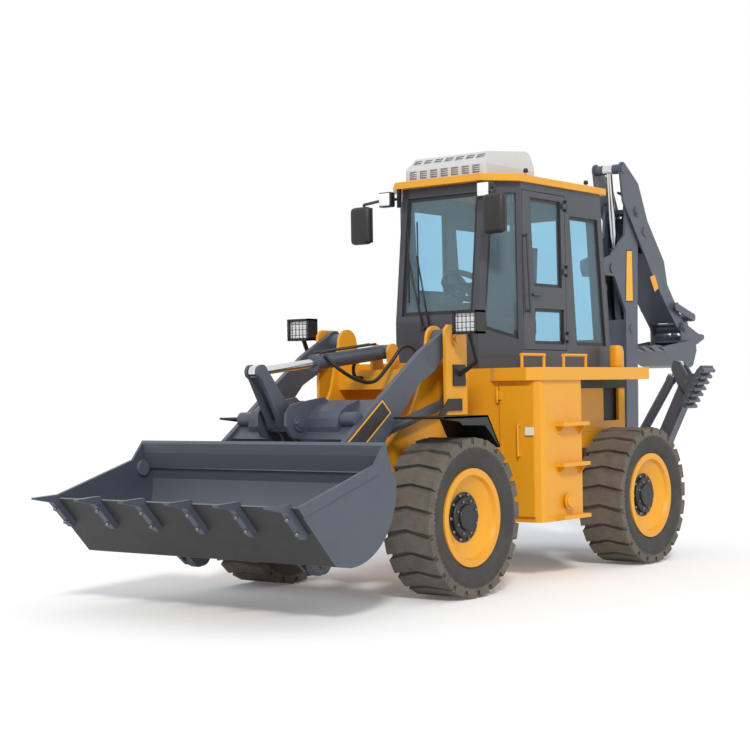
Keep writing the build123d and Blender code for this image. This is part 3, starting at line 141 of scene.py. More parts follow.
GROOVE = paint("tread_groove", (0.045, 0.040, 0.035), (0.030, 0.027, 0.025), 0.95, 0.6, 9.0, bump=0.4)
SIDEWALL = paint("tyre_side", (0.040, 0.038, 0.036), (0.10, 0.09, 0.08), 0.8, 0.4, 6.0, bump=0.25)
IRON = paint("engine_iron", (0.07, 0.072, 0.075), (0.03, 0.028, 0.026), 0.6, 0.5, 6.0, 0.4, bump=0.3)
CHROME = paint("rod_chrome", (0.70, 0.71, 0.73), (0.5, 0.5, 0.5), 0.14, 0.15, 4.0, 1.0)
FABRIC = paint("seat_cover", (0.03, 0.033, 0.037), (0.06, 0.06, 0.065), 0.85, 0.4, 20.0, bump=0.4)
PALE = paint("pale_plate", (0.80, 0.80, 0.74), (0.6, 0.6, 0.55), 0.5, 0.2, 8.0)
ORANGE = paint("plate_border", (0.90, 0.42, 0.02), (0.7, 0.3, 0.02), 0.4, 0.2, 8.0)
RED = paint("tail_red", (0.45, 0.02, 0.015), (0.2, 0.01, 0.01), 0.25, 0.2, 8.0)
# darker paint for the bucket floor's downward-facing underside: painted shade together with wear
BELLY_SHADE_AND_WEAR = paint("worn_belly", (0.030, 0.030, 0.033), (0.055, 0.050, 0.045), 0.6, 0.5, 6.0, bump=0.15)
# lighter slate for the inside of the bucket: painted light that lifts the shade on its rolled back
INSIDE_LIGHTENED = paint("bucket_inside", (0.092, 0.106, 0.135), (0.125, 0.125, 0.130), 0.5, 0.4, 4.0)
STEEL = paint("worn_steel", (0.22, 0.22, 0.23), (0.10, 0.09, 0.085), 0.45, 0.5, 12.0, 0.8, bump=0.2)
LENS = paint("lamp_lens", (0.92, 0.94, 0.96), (0.75, 0.77, 0.80), 0.12, 0.3, 9.0, coat=0.5)
GROUND_WHITE = paint("ground_white", (0.95, 0.95, 0.95), (0.92, 0.92, 0.92), 0.95, 0.2, 0.5)
GLASS = glass("cab_pane", (0.70, 0.85, 0.92), 0.10)

BY_SLOT = {
    "yellow_paint": YELLOW, "grey_paint": SLATE, "dark_paint": DARK, "cab_paint": CAB_GREY,
    "white_plastic": WHITE, "black_plastic": BLACK, "tyre_rubber": TREAD, "clear_glass": GLASS,
    "rod_chrome": CHROME, "engine_iron": IRON, "seat_cover": FABRIC, "lamp_black": BLACK,
}


def finish_nodes():
    """Each CAD node takes the material of its slot, and every cylinder's barrel is grey."""
    slot_of = {part["node"]: part["material_slot"] for part in frame["record"]["subparts"]}
    for name, obj in frame["nodes"].items():
        obj.data.materials.clear()
        obj.data.materials.append(SLATE if "barrel" in name else BY_SLOT[slot_of[name]])


finish_nodes()


# second materials on parts of a CAD node
def zone(node, material, test):
    """Faces of a CAD node whose centre and normal pass the test take a second material."""
    mesh = frame["nodes"][node].data
    mesh.materials.append(material)
    index = len(mesh.materials) - 1
    for face in mesh.polygons:
        if test(face.center, face.normal):
            face.material_index = index


WHEELS = ("front_left", "front_right", "rear_left", "rear_right")
# a wheel stands on the ground, so its axle's height is the tyre's radius
TYRE_RADIUS = PIN["front_left_spin"][2]
GROOVE_RADIUS = TYRE_RADIUS - 0.031
WALL_RADIUS = TYRE_RADIUS - 0.073
WALL_FACING = 0.3


def tyre_zones(wheel):
    """Floors between the tread bars, and the side walls."""
    x, _, z = PIN[wheel + "_spin"]

    def is_groove(centre, normal):
        return math.hypot(centre.x - x, centre.z - z) < GROOVE_RADIUS and abs(normal.y) <= WALL_FACING

    def is_wall(centre, normal):
        return math.hypot(centre.x - x, centre.z - z) < WALL_RADIUS and abs(normal.y) > WALL_FACING

    zone(wheel + "_tyre", GROOVE, is_groove)
    zone(wheel + "_tyre", SIDEWALL, is_wall)


for wheel in WHEELS:
    tyre_zones(wheel)

# (X, Z) of a point on the bucket's front floor plate, and the way that plate faces
FLOOR_X, FLOOR_Z = 3.291, 0.387
FACING_X, FACING_Z = 0.730, -0.683
# the teeth's outer faces stand 0.048 off the floor plate, so this distance tells the two apart
TOOTH_LIMIT = 0.010
# inner face of the bucket's end plates
END_PLATE_Y = 1.114


def is_bucket_back(centre, normal):
    """Inner faces of the rolled back, between the end plates, which take a lighter paint as painted light that
    lifts their shade.
    """
    inside = abs(centre.y) < END_PLATE_Y + 0.001 and centre.x < 2.80 and centre.z > 0.60
    return inside and normal.x > 0.2


def is_bucket_floor(centre, normal):
    """Underside of the front floor plate, without the teeth, which takes a darker paint: painted shade together
    with wear.
    """
    off_plane = (centre.x - FLOOR_X) * FACING_X + (centre.z - FLOOR_Z) * FACING_Z
    return normal.z < -0.25 and normal.x > 0.2 and centre.x > 3.1 and off_plane < TOOTH_LIMIT


# the rolled back takes the lighter paint, which is painted light
zone("loader_bucket", INSIDE_LIGHTENED, is_bucket_back)
# the floor plate's underside takes the darker paint of painted shade and wear
zone("loader_bucket", BELLY_SHADE_AND_WEAR, is_bucket_floor)


# builders for new pieces
def link(name, mesh, material, body):
    """Object for a mesh."""
    mesh.materials.append(material)
    obj = bpy.data.objects.new(name, mesh)
    SCENE.collection.objects.link(obj)
    if body is not None:
        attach(obj, body)
    return obj


def form(name, verts, faces, material, body, is_round=False):
    """New piece from points and faces; a round one has its four-sided faces smooth."""
    mesh = bpy.data.meshes.new(name)
    mesh.from_pydata(verts, [], faces)
    for face in mesh.polygons:
        face.use_smooth = is_round and len(face.vertices) == 4
    return link(name, mesh, material, body)


def about(middle, half):
    """Span with a middle and a half width."""
    return middle - half, middle + half


def box(name, low, high, material, body):
    """Box between two corners."""
    x0, y0, z0 = low
    x1, y1, z1 = high
    verts = [(x, y, z) for x in (x0, x1) for y in (y0, y1) for z in (z0, z1)]
    faces = [(0, 1, 3, 2), (4, 6, 7, 5), (0, 4, 5, 1), (2, 3, 7, 6), (0, 2, 6, 4), (1, 5, 7, 3)]
    return form(name, verts, faces, material, body)


def soft_box(name, x_span, y_span, z_span, radius, material, body):
    """Box with rounded edges."""
    spans = (x_span, y_span, z_span)
    size = [b - a for a, b in spans]
    middle = [(a + b) / 2 for a, b in spans]
    work = bmesh.new()
    bmesh.ops.create_cube(work, size=1.0)
    for vert in work.verts:
        vert.co = Vector([m + c * s for m, c, s in zip(middle, vert.co, size)])
    bmesh.ops.bevel(work, geom=work.edges[:], offset=radius, segments=3, affect="EDGES", profile=0.5)
    mesh = bpy.data.meshes.new(name)
    work.to_mesh(mesh)
    work.free()
    for face in mesh.polygons:
        face.use_smooth = True
    return link(name, mesh, material, body)


def prisms(name, parts, material, body):
    """Prisms in one mesh, each an (X, Z) outline between two Y values."""
    verts, faces = [], []
    for outline, y0, y1 in parts:
        n, first = len(outline), len(verts)
        verts += [(x, y0, z) for x, z in outline] + [(x, y1, z) for x, z in outline]
        walls = [(k, n + k, n + (k + 1) % n, (k + 1) % n) for k in range(n)]
        for face in [tuple(range(n)), tuple(reversed(range(n, 2 * n)))] + walls:
            faces.append(tuple(first + k for k in face))
    return form(name, verts, faces, material, body)


def slab(name, outline, y0, y1, material, body):
    """Prism of an (X, Z) outline between two Y values."""
    return prisms(name, [(outline, y0, y1)], material, body)


def ring(centre, across, other, radius, sides):
    """Points of a circle in the plane of two directions."""
    turns = [2 * math.pi * k / sides for k in range(sides)]
    return [centre + across * (radius * math.cos(a)) + other * (radius * math.sin(a)) for a in turns]


def skin(rings, sides):
    """Faces along a row of rings, with a cap at each end."""
    faces = []
    last = (rings - 1) * sides
    for first in range(0, last, sides):
        for k in range(sides):
            a, b = first + k, first + (k + 1) % sides
            faces.append((a, b, b + sides, a + sides))
    return faces + [tuple(reversed(range(sides))), tuple(range(last, last + sides))]


def rod(name, start, end, radius, material, body, sides=16, end_radius=None):
    """Closed cylinder or cone between two points."""
    start, end = Vector(start), Vector(end)
    along = (end - start).normalized()
    across = along.orthogonal().normalized()
    other = along.cross(across)
    verts = ring(start, across, other, radius, sides)
    verts += ring(end, across, other, radius if end_radius is None else end_radius, sides)
    return form(name, verts, skin(2, sides), material, body, is_round=True)


# how deep a small round piece is let into the face that it stands on
LAP = 0.002


def stud(name, place, face, side, material, body, sides, rise, radius, top_radius=None, sink=LAP):
    """Round piece at an (X, Z) place, standing out along Y from a flat face."""
    x, z = place
    start, end = (x, face - side * sink, z), (x, face + side * rise, z)
    return rod(name, start, end, radius, material, body, sides, top_radius)


def bolt_ring(name, place, face, side, body, count, pitch, rise, radius, offset=0.0):
    """Six-sided bolts in a circle, the first one an offset of their spacing round it."""
    x, z = place
    for k in range(count):
        a = 2 * math.pi * (k + offset) / count
        spot = (x + pitch * math.cos(a), z + pitch * math.sin(a))
        stud(name, spot, face, side, STEEL, body, 6, rise, radius)


def smooth_path(points, steps):
    """Points along a Catmull-Rom curve through the given points."""
    knots = [Vector(p) for p in points]
    knots = [knots[0] * 2 - knots[1]] + knots + [knots[-1] * 2 - knots[-2]]
    path = []
    for k in range(1, len(knots) - 2):
        a, b, c, d = knots[k - 1:k + 3]
        for step in range(steps):
            t = step / steps
            path.append(0.5 * (2 * b + (c - a) * t + (2 * a - 5 * b + 4 * c - d) * t ** 2
                               + (3 * b - a - 3 * c + d) * t ** 3))
    path.append(knots[-2])
    return path


def tube(name, points, radius, material, body=None, sides=10, steps=10):
    path = smooth_path(points, steps)
    verts = []
    across = (path[1] - path[0]).orthogonal().normalized()
    for k, place in enumerate(path):
        ahead = path[min(k + 1, len(path) - 1)] - path[max(k - 1, 0)]
        ahead.normalize()
        across = (across - ahead * across.dot(ahead)).normalized()
        verts += ring(place, across, ahead.cross(across), radius, sides)
    return form(name, verts, skin(len(path), sides), material, body, is_round=True)


def inset(outline, width):
    """Corners of a convex outline moved inwards by width."""
    n = len(outline)
    edges = [(*outline[k], *outline[(k + 1) % n]) for k in range(n)]
    sign = math.copysign(1, sum(ax * by - bx * ay for ax, ay, bx, by in edges))
    lines = []
    for ax, ay, bx, by in edges:
        length = math.hypot(bx - ax, by - ay)
        nx, ny = -sign * (by - ay) / length, sign * (bx - ax) / length
        lines.append((nx, ny, nx * (ax + nx * width) + ny * (ay + ny * width)))
    corners = []
    for k in range(n):
        (a1, b1, c1), (a2, b2, c2) = lines[k - 1], lines[k]
        det = a1 * b2 - a2 * b1
        corners.append(((c1 * b2 - c2 * b1) / det, (a1 * c2 - a2 * c1) / det))
    return corners


def seal(name, corners, width, depth, body):
    """Flat black frame just inside the corners of a window, centred on its plane."""
    corners = [Vector(c) for c in corners]
    along = (corners[1] - corners[0]).normalized()
    out = along.cross(corners[2] - corners[1]).normalized()
    up = out.cross(along)
    flat = [((c - corners[0]).dot(along), (c - corners[0]).dot(up)) for c in corners]
    n = len(corners)
    verts = []
    for lift in (-depth / 2, depth / 2):
        for loop in (flat, inset(flat, width)):
            verts += [corners[0] + along * u + up * v + out * lift for u, v in loop]
    faces = []
    for k in range(n):
        m = (k + 1) % n
        faces += [(k, m, n + m, n + k), (2 * n + k, 3 * n + k, 3 * n + m, 2 * n + m)]
        faces += [(k, 2 * n + k, 2 * n + m, m), (n + k, n + m, 3 * n + m, 3 * n + k)]
    return form(name, verts, faces, BLACK, body)


# camera fitted to the photograph
CAMERA_PLACE = (11.1831, 7.5849, 1.4911)
CAMERA_YAW, CAMERA_PITCH, CAMERA_ROLL = -142.226, 0.546, -0.931
FOCAL_PIXELS, PICTURE_PIXELS = 1622.1, 750
SENSOR_WIDTH = 36


def camera():
    yaw, pitch, roll = [math.radians(v) for v in (CAMERA_YAW, CAMERA_PITCH, CAMERA_ROLL)]
    look = Vector((math.cos(yaw) * math.cos(pitch), math.sin(yaw) * math.cos(pitch), math.sin(pitch)))
    right = look.cross(Vector((0, 0, 1))).normalized()
    up = right.cross(look)
    c, s = math.cos(roll), math.sin(roll)
    right, up = right * c + up * s, up * c - right * s
    data = bpy.data.cameras.new("photo_camera")
    data.sensor_width = SENSOR_WIDTH
    data.lens = FOCAL_PIXELS * SENSOR_WIDTH / PICTURE_PIXELS
    obj = bpy.data.objects.new("photo_camera", data)
    turn = Matrix((right, up, -look)).transposed().to_4x4()
    obj.matrix_world = Matrix.Translation(CAMERA_PLACE) @ turn
    SCENE.collection.objects.link(obj)
    SCENE.camera = obj


# light: white surround, soft sky light and a sun from the front left
SKY_COLOUR, SKY_STRENGTH = (0.93, 0.96, 1.0), 0.74
SUN_COLOUR, SUN_STRENGTH = (1.0, 0.96, 0.90), 1.95
SUN_FROM, SUN_WIDTH = (0.95, 0.80, 0.90), 9


def surround():
    """Sky light on the machine, and plain white to the camera, in reflections and through glass."""
    world = bpy.data.worlds.new("surround")
    SCENE.world = world
    world.use_nodes = True
    tree = world.node_tree
    sky = tree.nodes["Background"]
    sky.inputs["Color"].default_value = (*SKY_COLOUR, 1)
    sky.inputs["Strength"].default_value = SKY_STRENGTH
    plain = tree.nodes.new("ShaderNodeBackground")
    plain.inputs["Color"].default_value = (1, 1, 1, 1)
    plain.inputs["Strength"].default_value = 1.0
    paths = tree.nodes.new("ShaderNodeLightPath")
    shown = paths.outputs["Is Camera Ray"]
    for ray in ("Is Glossy Ray", "Is Transmission Ray"):
        either = tree.nodes.new("ShaderNodeMath")
        either.operation = "ADD"
        either.use_clamp = True
        tree.links.new(shown, either.inputs[0])
        tree.links.new(paths.outputs[ray], either.inputs[1])
        shown = either.outputs["Value"]
    mix = tree.nodes.new("ShaderNodeMixShader")
    tree.links.new(shown, mix.inputs["Fac"])
    tree.links.new(sky.outputs["Background"], mix.inputs[1])
    tree.links.new(plain.outputs["Background"], mix.inputs[2])
    tree.links.new(mix.outputs["Shader"], tree.nodes["World Output"].inputs["Surface"])


def sun():
    lamp = bpy.data.lights.new("sun", "SUN")
    lamp.energy = SUN_STRENGTH
    lamp.angle = math.radians(SUN_WIDTH)
    lamp.color = SUN_COLOUR
    obj = bpy.data.objects.new("sun", lamp)
    obj.rotation_euler = Vector(SUN_FROM).to_track_quat("Z", "Y").to_euler()
    SCENE.collection.objects.link(obj)


# floor: pale ground that keeps the shadow and is a little brighter to the camera alone
GROUND_REACH = 60
GROUND_Z = -0.002
GROUND_GLOW = 0.08


def ground():
    reach, z = GROUND_REACH, GROUND_Z
    tree = GROUND_WHITE.node_tree
    paths = tree.nodes.new("ShaderNodeLightPath")
    glow = tree.nodes.new("ShaderNodeEmission")
    glow.inputs["Color"].default_value = (GROUND_GLOW, GROUND_GLOW, GROUND_GLOW, 1)
    both = tree.nodes.new("ShaderNodeAddShader")
    tree.links.new(paths.outputs["Is Camera Ray"], glow.inputs["Strength"])
    tree.links.new(tree.nodes["Principled BSDF"].outputs["BSDF"], both.inputs[0])
    tree.links.new(glow.outputs["Emission"], both.inputs[1])
    tree.links.new(both.outputs["Shader"], tree.nodes["Material Output"].inputs["Surface"])
    mesh = bpy.data.meshes.new("ground")
    corners = [(-reach, -reach, z), (reach, -reach, z), (reach, reach, z), (-reach, reach, z)]
    mesh.from_pydata(corners, [], [(0, 1, 2, 3)])
    mesh.materials.append(GROUND_WHITE)
    floor = bpy.data.objects.new("ground", mesh)
    SCENE.collection.objects.link(floor)


camera()
surround()
sun()
ground()
SCENE.view_settings.view_transform = "Standard"

# wheels: hub plate, drum, cover and bolts, outwards from the rim
# distance of the rim's hub face from the wheel's middle
RIM_FACE = 0.094
DRUM_RISE = 0.030


def hub(wheel):
    """Two rings of bolts, and the plate, drum and cover between them."""
    x, y, z = PIN[wheel + "_spin"]
    side = math.copysign(1, y)
    body = wheel + "_wheel"
    axle = (x, z)
    rim = y + side * RIM_FACE
    drum = rim + side * DRUM_RISE

    def disc(name, face, sides, rise, radius, top_radius, sink):
        stud(name, axle, face, side, BLACK, body, sides, rise, radius, top_radius, sink)

    bolt_ring("hub_nut", axle, rim, side, body, count=10, pitch=0.164, rise=0.016, radius=0.012)
    disc("hub_plate", rim, sides=48, rise=0.004, radius=0.188, top_radius=0.182, sink=0.006)
    disc("hub_drum", rim, sides=40, rise=DRUM_RISE, radius=0.151, top_radius=0.144, sink=0)
    disc("hub_cover", drum, sides=32, rise=0.018, radius=0.100, top_radius=0.085, sink=LAP)
    bolt_ring("hub_cap_bolt", axle, drum, side, body, count=8, pitch=0.122, rise=0.010, radius=0.009,
              offset=0.5)


for wheel in WHEELS:
    hub(wheel)

# cab: window seals on the glass planes
CAB_Y = 0.600
# depth of the panes' middle behind the cab's outer wall
GLASS_IN = 0.022
# the front wall stands upright to the knee and leans back above it
SCREEN_X = 0.582
KNEE_Z = 2.040
SCREEN_LEAN = 0.125 / 1.100
# the slanted quarter wall runs from the door pillar to the windscreen's corner
PILLAR_X = 0.237
SCREEN_CORNER_Y = 0.405
# distance along the quarter wall, and height
QUARTER = [(0.040, 1.880), (0.345, 1.965), (0.245, 3.050), (0.040, 3.050)]
DOOR_UPPER = [(0.103, 3.027), (0.058, 2.312), (-0.375, 2.312), (-0.367, 3.027)]
DOOR_LOWER = [(0.052, 1.845), (0.052, 2.135), (-0.399, 2.135), (-0.399, 1.845)]
REAR_SIDE = [(-0.507, 2.920), (-0.600, 1.840), (-1.087, 1.840), (-0.970, 2.920)]
# windscreen corners in (Y, Z)
WINDSCREEN = [(-0.35, 2.09), (0.35, 2.09), (0.35, 3.06), (-0.35, 3.06)]


def cab_side(outline, side):
    """Corners of a side window on the glass plane."""
    return [(x, side * (CAB_Y - GLASS_IN), z) for x, z in outline]


def screen_wall(z):
    """X of the cab's front wall at height z."""
    return SCREEN_X - max(0, z - KNEE_Z) * SCREEN_LEAN


def screen_x(z):
    """X of the windscreen's glass at height z."""
    return screen_wall(z) - GLASS_IN


def quarter_corners(side):
    """Corners of the quarter window, set out along the wall's foot and moved square to it to the glass."""
    run_x, run_y = SCREEN_X - PILLAR_X, SCREEN_CORNER_Y - CAB_Y
    length = math.hypot(run_x, run_y)
    ux, uy = run_x / length, run_y / length
    points = []
    for along, z in QUARTER:
        x, y = ux * along, uy * along
        wall_x = screen_wall(z) - PILLAR_X
        lean = (wall_x * y - run_y * x) / (-run_y * uy - wall_x * ux) - GLASS_IN
        points.append((PILLAR_X + x - uy * lean, side * (CAB_Y + y + ux * lean), z))
    return points


def window_seals():
    for side in (1, -1):
        door_body = "cab_door" if side > 0 else "machine"
        seal("rear_side_seal", cab_side(REAR_SIDE, side), width=0.028, depth=0.016, body="machine")
        seal("door_upper_seal", cab_side(DOOR_UPPER, side), width=0.026, depth=0.016, body=door_body)
        seal("door_lower_seal", cab_side(DOOR_LOWER, side), width=0.026, depth=0.016, body=door_body)
        seal("quarter_seal", quarter_corners(side), width=0.028, depth=0.014, body="machine")
    screen = [(screen_x(z), y, z) for y, z in WINDSCREEN]
    seal("windscreen_seal", screen, width=0.030, depth=0.014, body="machine")


# cab: wipers, lamps, mirrors and small fittings
WIPER_ARM_R, WIPER_PIVOT_R, WIPER_BLADE_R = 0.007, 0.018, 0.006
# arms: Y of the pivot, then Y and Z of the tip
WIPER_ARMS = [(-0.120, -0.310, 2.62), (-0.055, -0.210, 2.58)]
# blades: Y and Z of the low end, then of the high end
WIPER_BLADES = [(-0.270, 2.20, -0.335, 2.92), (-0.170, 2.18, -0.235, 2.86)]


def wipers():
    """Two arms on pivots under the windscreen, and their blades in front of the glass."""
    pivot_rear, pivot_front, pivot_z = 0.575, 0.612, 1.985
    arm_x, arm_z, tip_out, blade_out = 0.598, 1.990, 0.045, 0.032
    for y, tip_y, tip_z in WIPER_ARMS:
        tip = (screen_x(tip_z) + tip_out, tip_y, tip_z)
        rear, front = (pivot_rear, y, pivot_z), (pivot_front, y, pivot_z)
        rod("wiper_arm", (arm_x, y, arm_z), tip, WIPER_ARM_R, BLACK, "machine", 8)
        rod("wiper_pivot", rear, front, WIPER_PIVOT_R, BLACK, "machine", 12)
    for low_y, low_z, high_y, high_z in WIPER_BLADES:
        low = (screen_x(low_z) + blade_out, low_y, low_z)
        high = (screen_x(high_z) + blade_out, high_y, high_z)
        rod("wiper_blade", low, high, WIPER_BLADE_R, BLACK, "machine", 8)


# rounded pieces on the cab: name, X span, Y of the middle, half width, Z span, rounding, material
LAMPS_AND_MIRRORS = [
    ("roof_lamp_shell", (0.535, 0.605), 0.487, 0.062, (2.995, 3.118), 0.012, BLACK),
    ("roof_lamp_lens", (0.600, 0.612), 0.487, 0.052, (3.005, 3.108), 0.005, LENS),
    ("mirror_shell", (0.660, 0.740), 0.655, 0.100, (2.690, 3.000), 0.038, BLACK),
    ("mirror_face", (0.656, 0.666), 0.655, 0.078, (2.720, 2.975), 0.004, CHROME),
]
TAIL_PIECES = [
    ("tail_column", (-1.100, -1.020), 0.705, 0.050, (1.645, 1.845), 0.030, YELLOW),
    ("tail_lamp", (-1.108, -1.096), 0.705, 0.033, (1.700, 1.800), 0.005, RED),
]


def lamps_and_mirrors():
    for side in (1, -1):
        for name, x_span, y, half, z_span, radius, material in LAMPS_AND_MIRRORS:
            soft_box(name, x_span, about(side * y, half), z_span, radius, material, "machine")


def roof_studs():
    """Two studs at the roof's left edge, each with a knob."""
    roof_top, stud_top, knob_low, knob_top = 3.190, 3.235, 3.232, 3.262
    stud_radius, knob_radius, knob_top_radius = 0.012, 0.022, 0.016
    for x, y in [(0.09, 0.56), (-0.93, 0.52)]:
        low, high = (x, y, knob_low), (x, y, knob_top)
        rod("roof_stud", (x, y, roof_top), (x, y, stud_top), stud_radius, YELLOW, "machine", 12)
        rod("roof_knob", low, high, knob_radius, BLACK, "machine", 16, knob_top_radius)


def tail_lamp():
    """Column behind the cab on the left, with its lamp."""
    for name, x_span, y, half, z_span, radius, material in TAIL_PIECES:
        soft_box(name, x_span, about(y, half), z_span, radius, material, "machine")


def hinge_caps():
    """Caps over the three hinges of the cab door."""
    x, y, _ = PIN["cab_door_swing"]
    hinge_half, cap_rise, cap_radius = 0.040, 0.012, 0.012
    for z in (1.90, 2.45, 2.99):
        foot = z + hinge_half
        rod("door_hinge_cap", (x, y, foot), (x, y, foot + cap_rise), cap_radius, BLACK, "machine", 12)


# air conditioner: seven slots with slats on the sloping face, and seven on the upright face below it; each slot is
# a grey sheet of painted shade
VENTS = 7
VENT_PITCH = 0.104
# (X, Z) corners of a slot's sheet of painted shade on the sloping face, its first slat and the step to the next
SLOPE_SLOT = [(0.4070, 3.3036), (0.3428, 3.3696), (0.3450, 3.3717), (0.4092, 3.3057)]
SLOPE_SLAT = (0.4035, 3.3155)
SLOPE_STEP = (-0.0162, 0.0166)
SLOPE_HALF, SLOPE_SLAT_R = 0.037, 0.0045
# X and Z spans of a slot's sheet of painted shade on the upright face, its first slat and the step up to the next
FRONT_SLOT_X = (0.4365, 0.4378)
FRONT_SLOT_Z = (3.218, 3.284)
FRONT_SLAT = (0.4375, 3.234)
FRONT_STEP = 0.0165
FRONT_HALF, FRONT_SLAT_R = 0.034, 0.0040


def slope_vent(y):
    """Slot with four slats on the sloping face; the slot is a grey sheet of painted shade."""
    y0, y1 = about(y, SLOPE_HALF)
    slab("louvre_shadow", SLOPE_SLOT, y0, y1, STEEL, "machine")
    for k in range(4):
        x, z = [start + k * step for start, step in zip(SLOPE_SLAT, SLOPE_STEP)]
        rod("louvre_slat", (x, y0, z), (x, y1, z), SLOPE_SLAT_R, WHITE, "machine", 6)


def front_vent(y):
    """Slot with three slats on the upright face; the slot is a grey sheet of painted shade."""
    y0, y1 = about(y, FRONT_HALF)
    low, high = [(x, y_end, z) for x, y_end, z in zip(FRONT_SLOT_X, (y0, y1), FRONT_SLOT_Z)]
    box("louvre_foot", low, high, STEEL, "machine")
    x, first_z = FRONT_SLAT
    for k in range(3):
        z = first_z + k * FRONT_STEP
        rod("louvre_slat", (x, y0, z), (x, y1, z), FRONT_SLAT_R, WHITE, "machine", 6)


def vents():
    for column in range(VENTS):
        y = (column - (VENTS - 1) / 2) * VENT_PITCH
        slope_vent(y)
        front_vent(y)


# work lamps: open housing, lens and wire guard
LAMP_REAR, LAMP_FRONT = 1.236, 1.352
LAMP_LOW, LAMP_HIGH = 1.897, 2.070
LAMP_Y = (0.695, 0.915)
# thickness of the housing's level and upright walls
LEVEL_WALL, UPRIGHT_WALL = 0.016, 0.014
LENS_X = (1.3245, 1.3310)
# gap between the lens and the housing's outside, along Y and up
LENS_IN_Y, LENS_IN_Z = 0.018, 0.020
WIRE_R = 0.003
UPRIGHT_WIRES = 6
LEVEL_WIRES_Z = (1.940, 1.983, 2.026)


def lamp_housing(y0, y1):
    """Bottom, top and two side walls."""
    walls = [
        ((y0, LAMP_LOW), (y1, LAMP_LOW + LEVEL_WALL)),
        ((y0, LAMP_HIGH - LEVEL_WALL), (y1, LAMP_HIGH)),
        ((y0, LAMP_LOW), (y0 + UPRIGHT_WALL, LAMP_HIGH)),
        ((y1 - UPRIGHT_WALL, LAMP_LOW), (y1, LAMP_HIGH)),
    ]
    for low, high in walls:
        box("work_lamp_housing", (LAMP_REAR, *low), (LAMP_FRONT, *high), BLACK, "front_machine")


def lamp_guard(y0, y1):
    """Upright and level wires across the housing's front."""
    x = LAMP_FRONT + WIRE_R
    for k in range(UPRIGHT_WIRES):
        y = y0 + (y1 - y0) * (k + 0.5) / UPRIGHT_WIRES
        rod("guard_wire", (x, y, LAMP_LOW), (x, y, LAMP_HIGH), WIRE_R, DARK, "front_machine", 6)
    for z in LEVEL_WIRES_Z:
        rod("guard_wire", (x, y0, z), (x, y1, z), WIRE_R, DARK, "front_machine", 6)


def work_lamp(side):
    y0, y1 = sorted(side * y for y in LAMP_Y)
    rear, front = LENS_X
    low = (rear, y0 + LENS_IN_Y, LAMP_LOW + LENS_IN_Z)
    high = (front, y1 - LENS_IN_Y, LAMP_HIGH - LENS_IN_Z)
    lamp_housing(y0, y1)
    box("work_lamp_lens", low, high, LENS, "front_machine")
    lamp_guard(y0, y1)


# blank plates where the photographed machine carries words, as (X, Z) outlines on faces that look left
ARM_PLATE = [(2.065, 1.423), (1.964, 1.330), (2.387, 1.027), (2.488, 1.120)]
BOOM_PLATE = [(-2.330, 2.775), (-2.448, 2.782), (-2.452, 2.290), (-2.300, 2.285)]
DIPPER_PLATE = [(-2.745, 2.538), (-2.840, 2.564), (-2.912, 2.437), (-2.834, 2.398)]
PLATE_BORDER = 0.011
PLATE_THICKNESS = 0.0015
# height of the inner plate's back over the outer one's
PLATE_STEP = 0.0010
ARM_FACE, BOOM_FACE = 0.5800, 0.1250
DIPPER_PLATE_Y = (0.1498, 0.1512)
DOOR_PLATE = [(0.6255, 0.852, 1.128), (0.6270, 0.932, 1.190)]


def bordered_plate(name, outline, y, border, face, body):
    """Thin plate with a second, smaller one let into it, so that a coloured border shows."""
    inner_y = y + PLATE_STEP
    slab(name, outline, y, y + PLATE_THICKNESS, border, body)
    slab(name + "_face", inset(outline, PLATE_BORDER), inner_y, inner_y + PLATE_THICKNESS, face, body)


def plates():
    bordered_plate("arm_plate", ARM_PLATE, ARM_FACE, ORANGE, DARK, "lift_arms")
    bordered_plate("boom_plate", BOOM_PLATE, BOOM_FACE, DARK, ORANGE, "boom")
    slab("dipper_plate", DIPPER_PLATE, *DIPPER_PLATE_Y, YELLOW, "dipper")
    box("door_plate", *DOOR_PLATE, PALE, "box_door")


# dark sheets: one behind the opening over the rear axle, for the dark upright there, and one in the gap under the
# deck, which is painted shade;
# name, X span, distance of both faces from the middle plane, Z span
DARK_SHEETS = [
    ("rear_panel", (-1.310, -1.005), (0.548, 0.556), (1.180, 1.510)),
    ("deck_shadow_gap", (-1.380, -0.030), (0.601, 0.612), (1.480, 1.549)),
]


def dark_sheets(side):
    for name, (x0, x1), faces, (z0, z1) in DARK_SHEETS:
        y0, y1 = sorted(side * y for y in faces)
        box(name, (x0, y0, z0), (x1, y1, z1), DARK, "machine")


# filler beside the left side box: (X, Z) of its middle, Y where it starts, and its sizes
FILLER = (0.237, 0.600)
FILLER_Y = 1.000
NECK_RISE, NECK_RADIUS = 0.012, 0.062
FILLER_CAP_RISE, FILLER_CAP_RADIUS, FILLER_CAP_TOP = 0.018, 0.050, 0.044


def filler():
    cap_y = FILLER_Y + NECK_RISE
    stud("filler_neck", FILLER, FILLER_Y, 1, YELLOW, "machine", 32, NECK_RISE, NECK_RADIUS)
    stud("filler_cap", FILLER, cap_y, 1, YELLOW, "machine", 32, FILLER_CAP_RISE, FILLER_CAP_RADIUS,
         FILLER_CAP_TOP)


window_seals()
wipers()
lamps_and_mirrors()
roof_studs()
tail_lamp()
hinge_caps()
vents()
for side in (1, -1):
    work_lamp(side)
plates()
for side in (1, -1):
    dark_sheets(side)
filler()

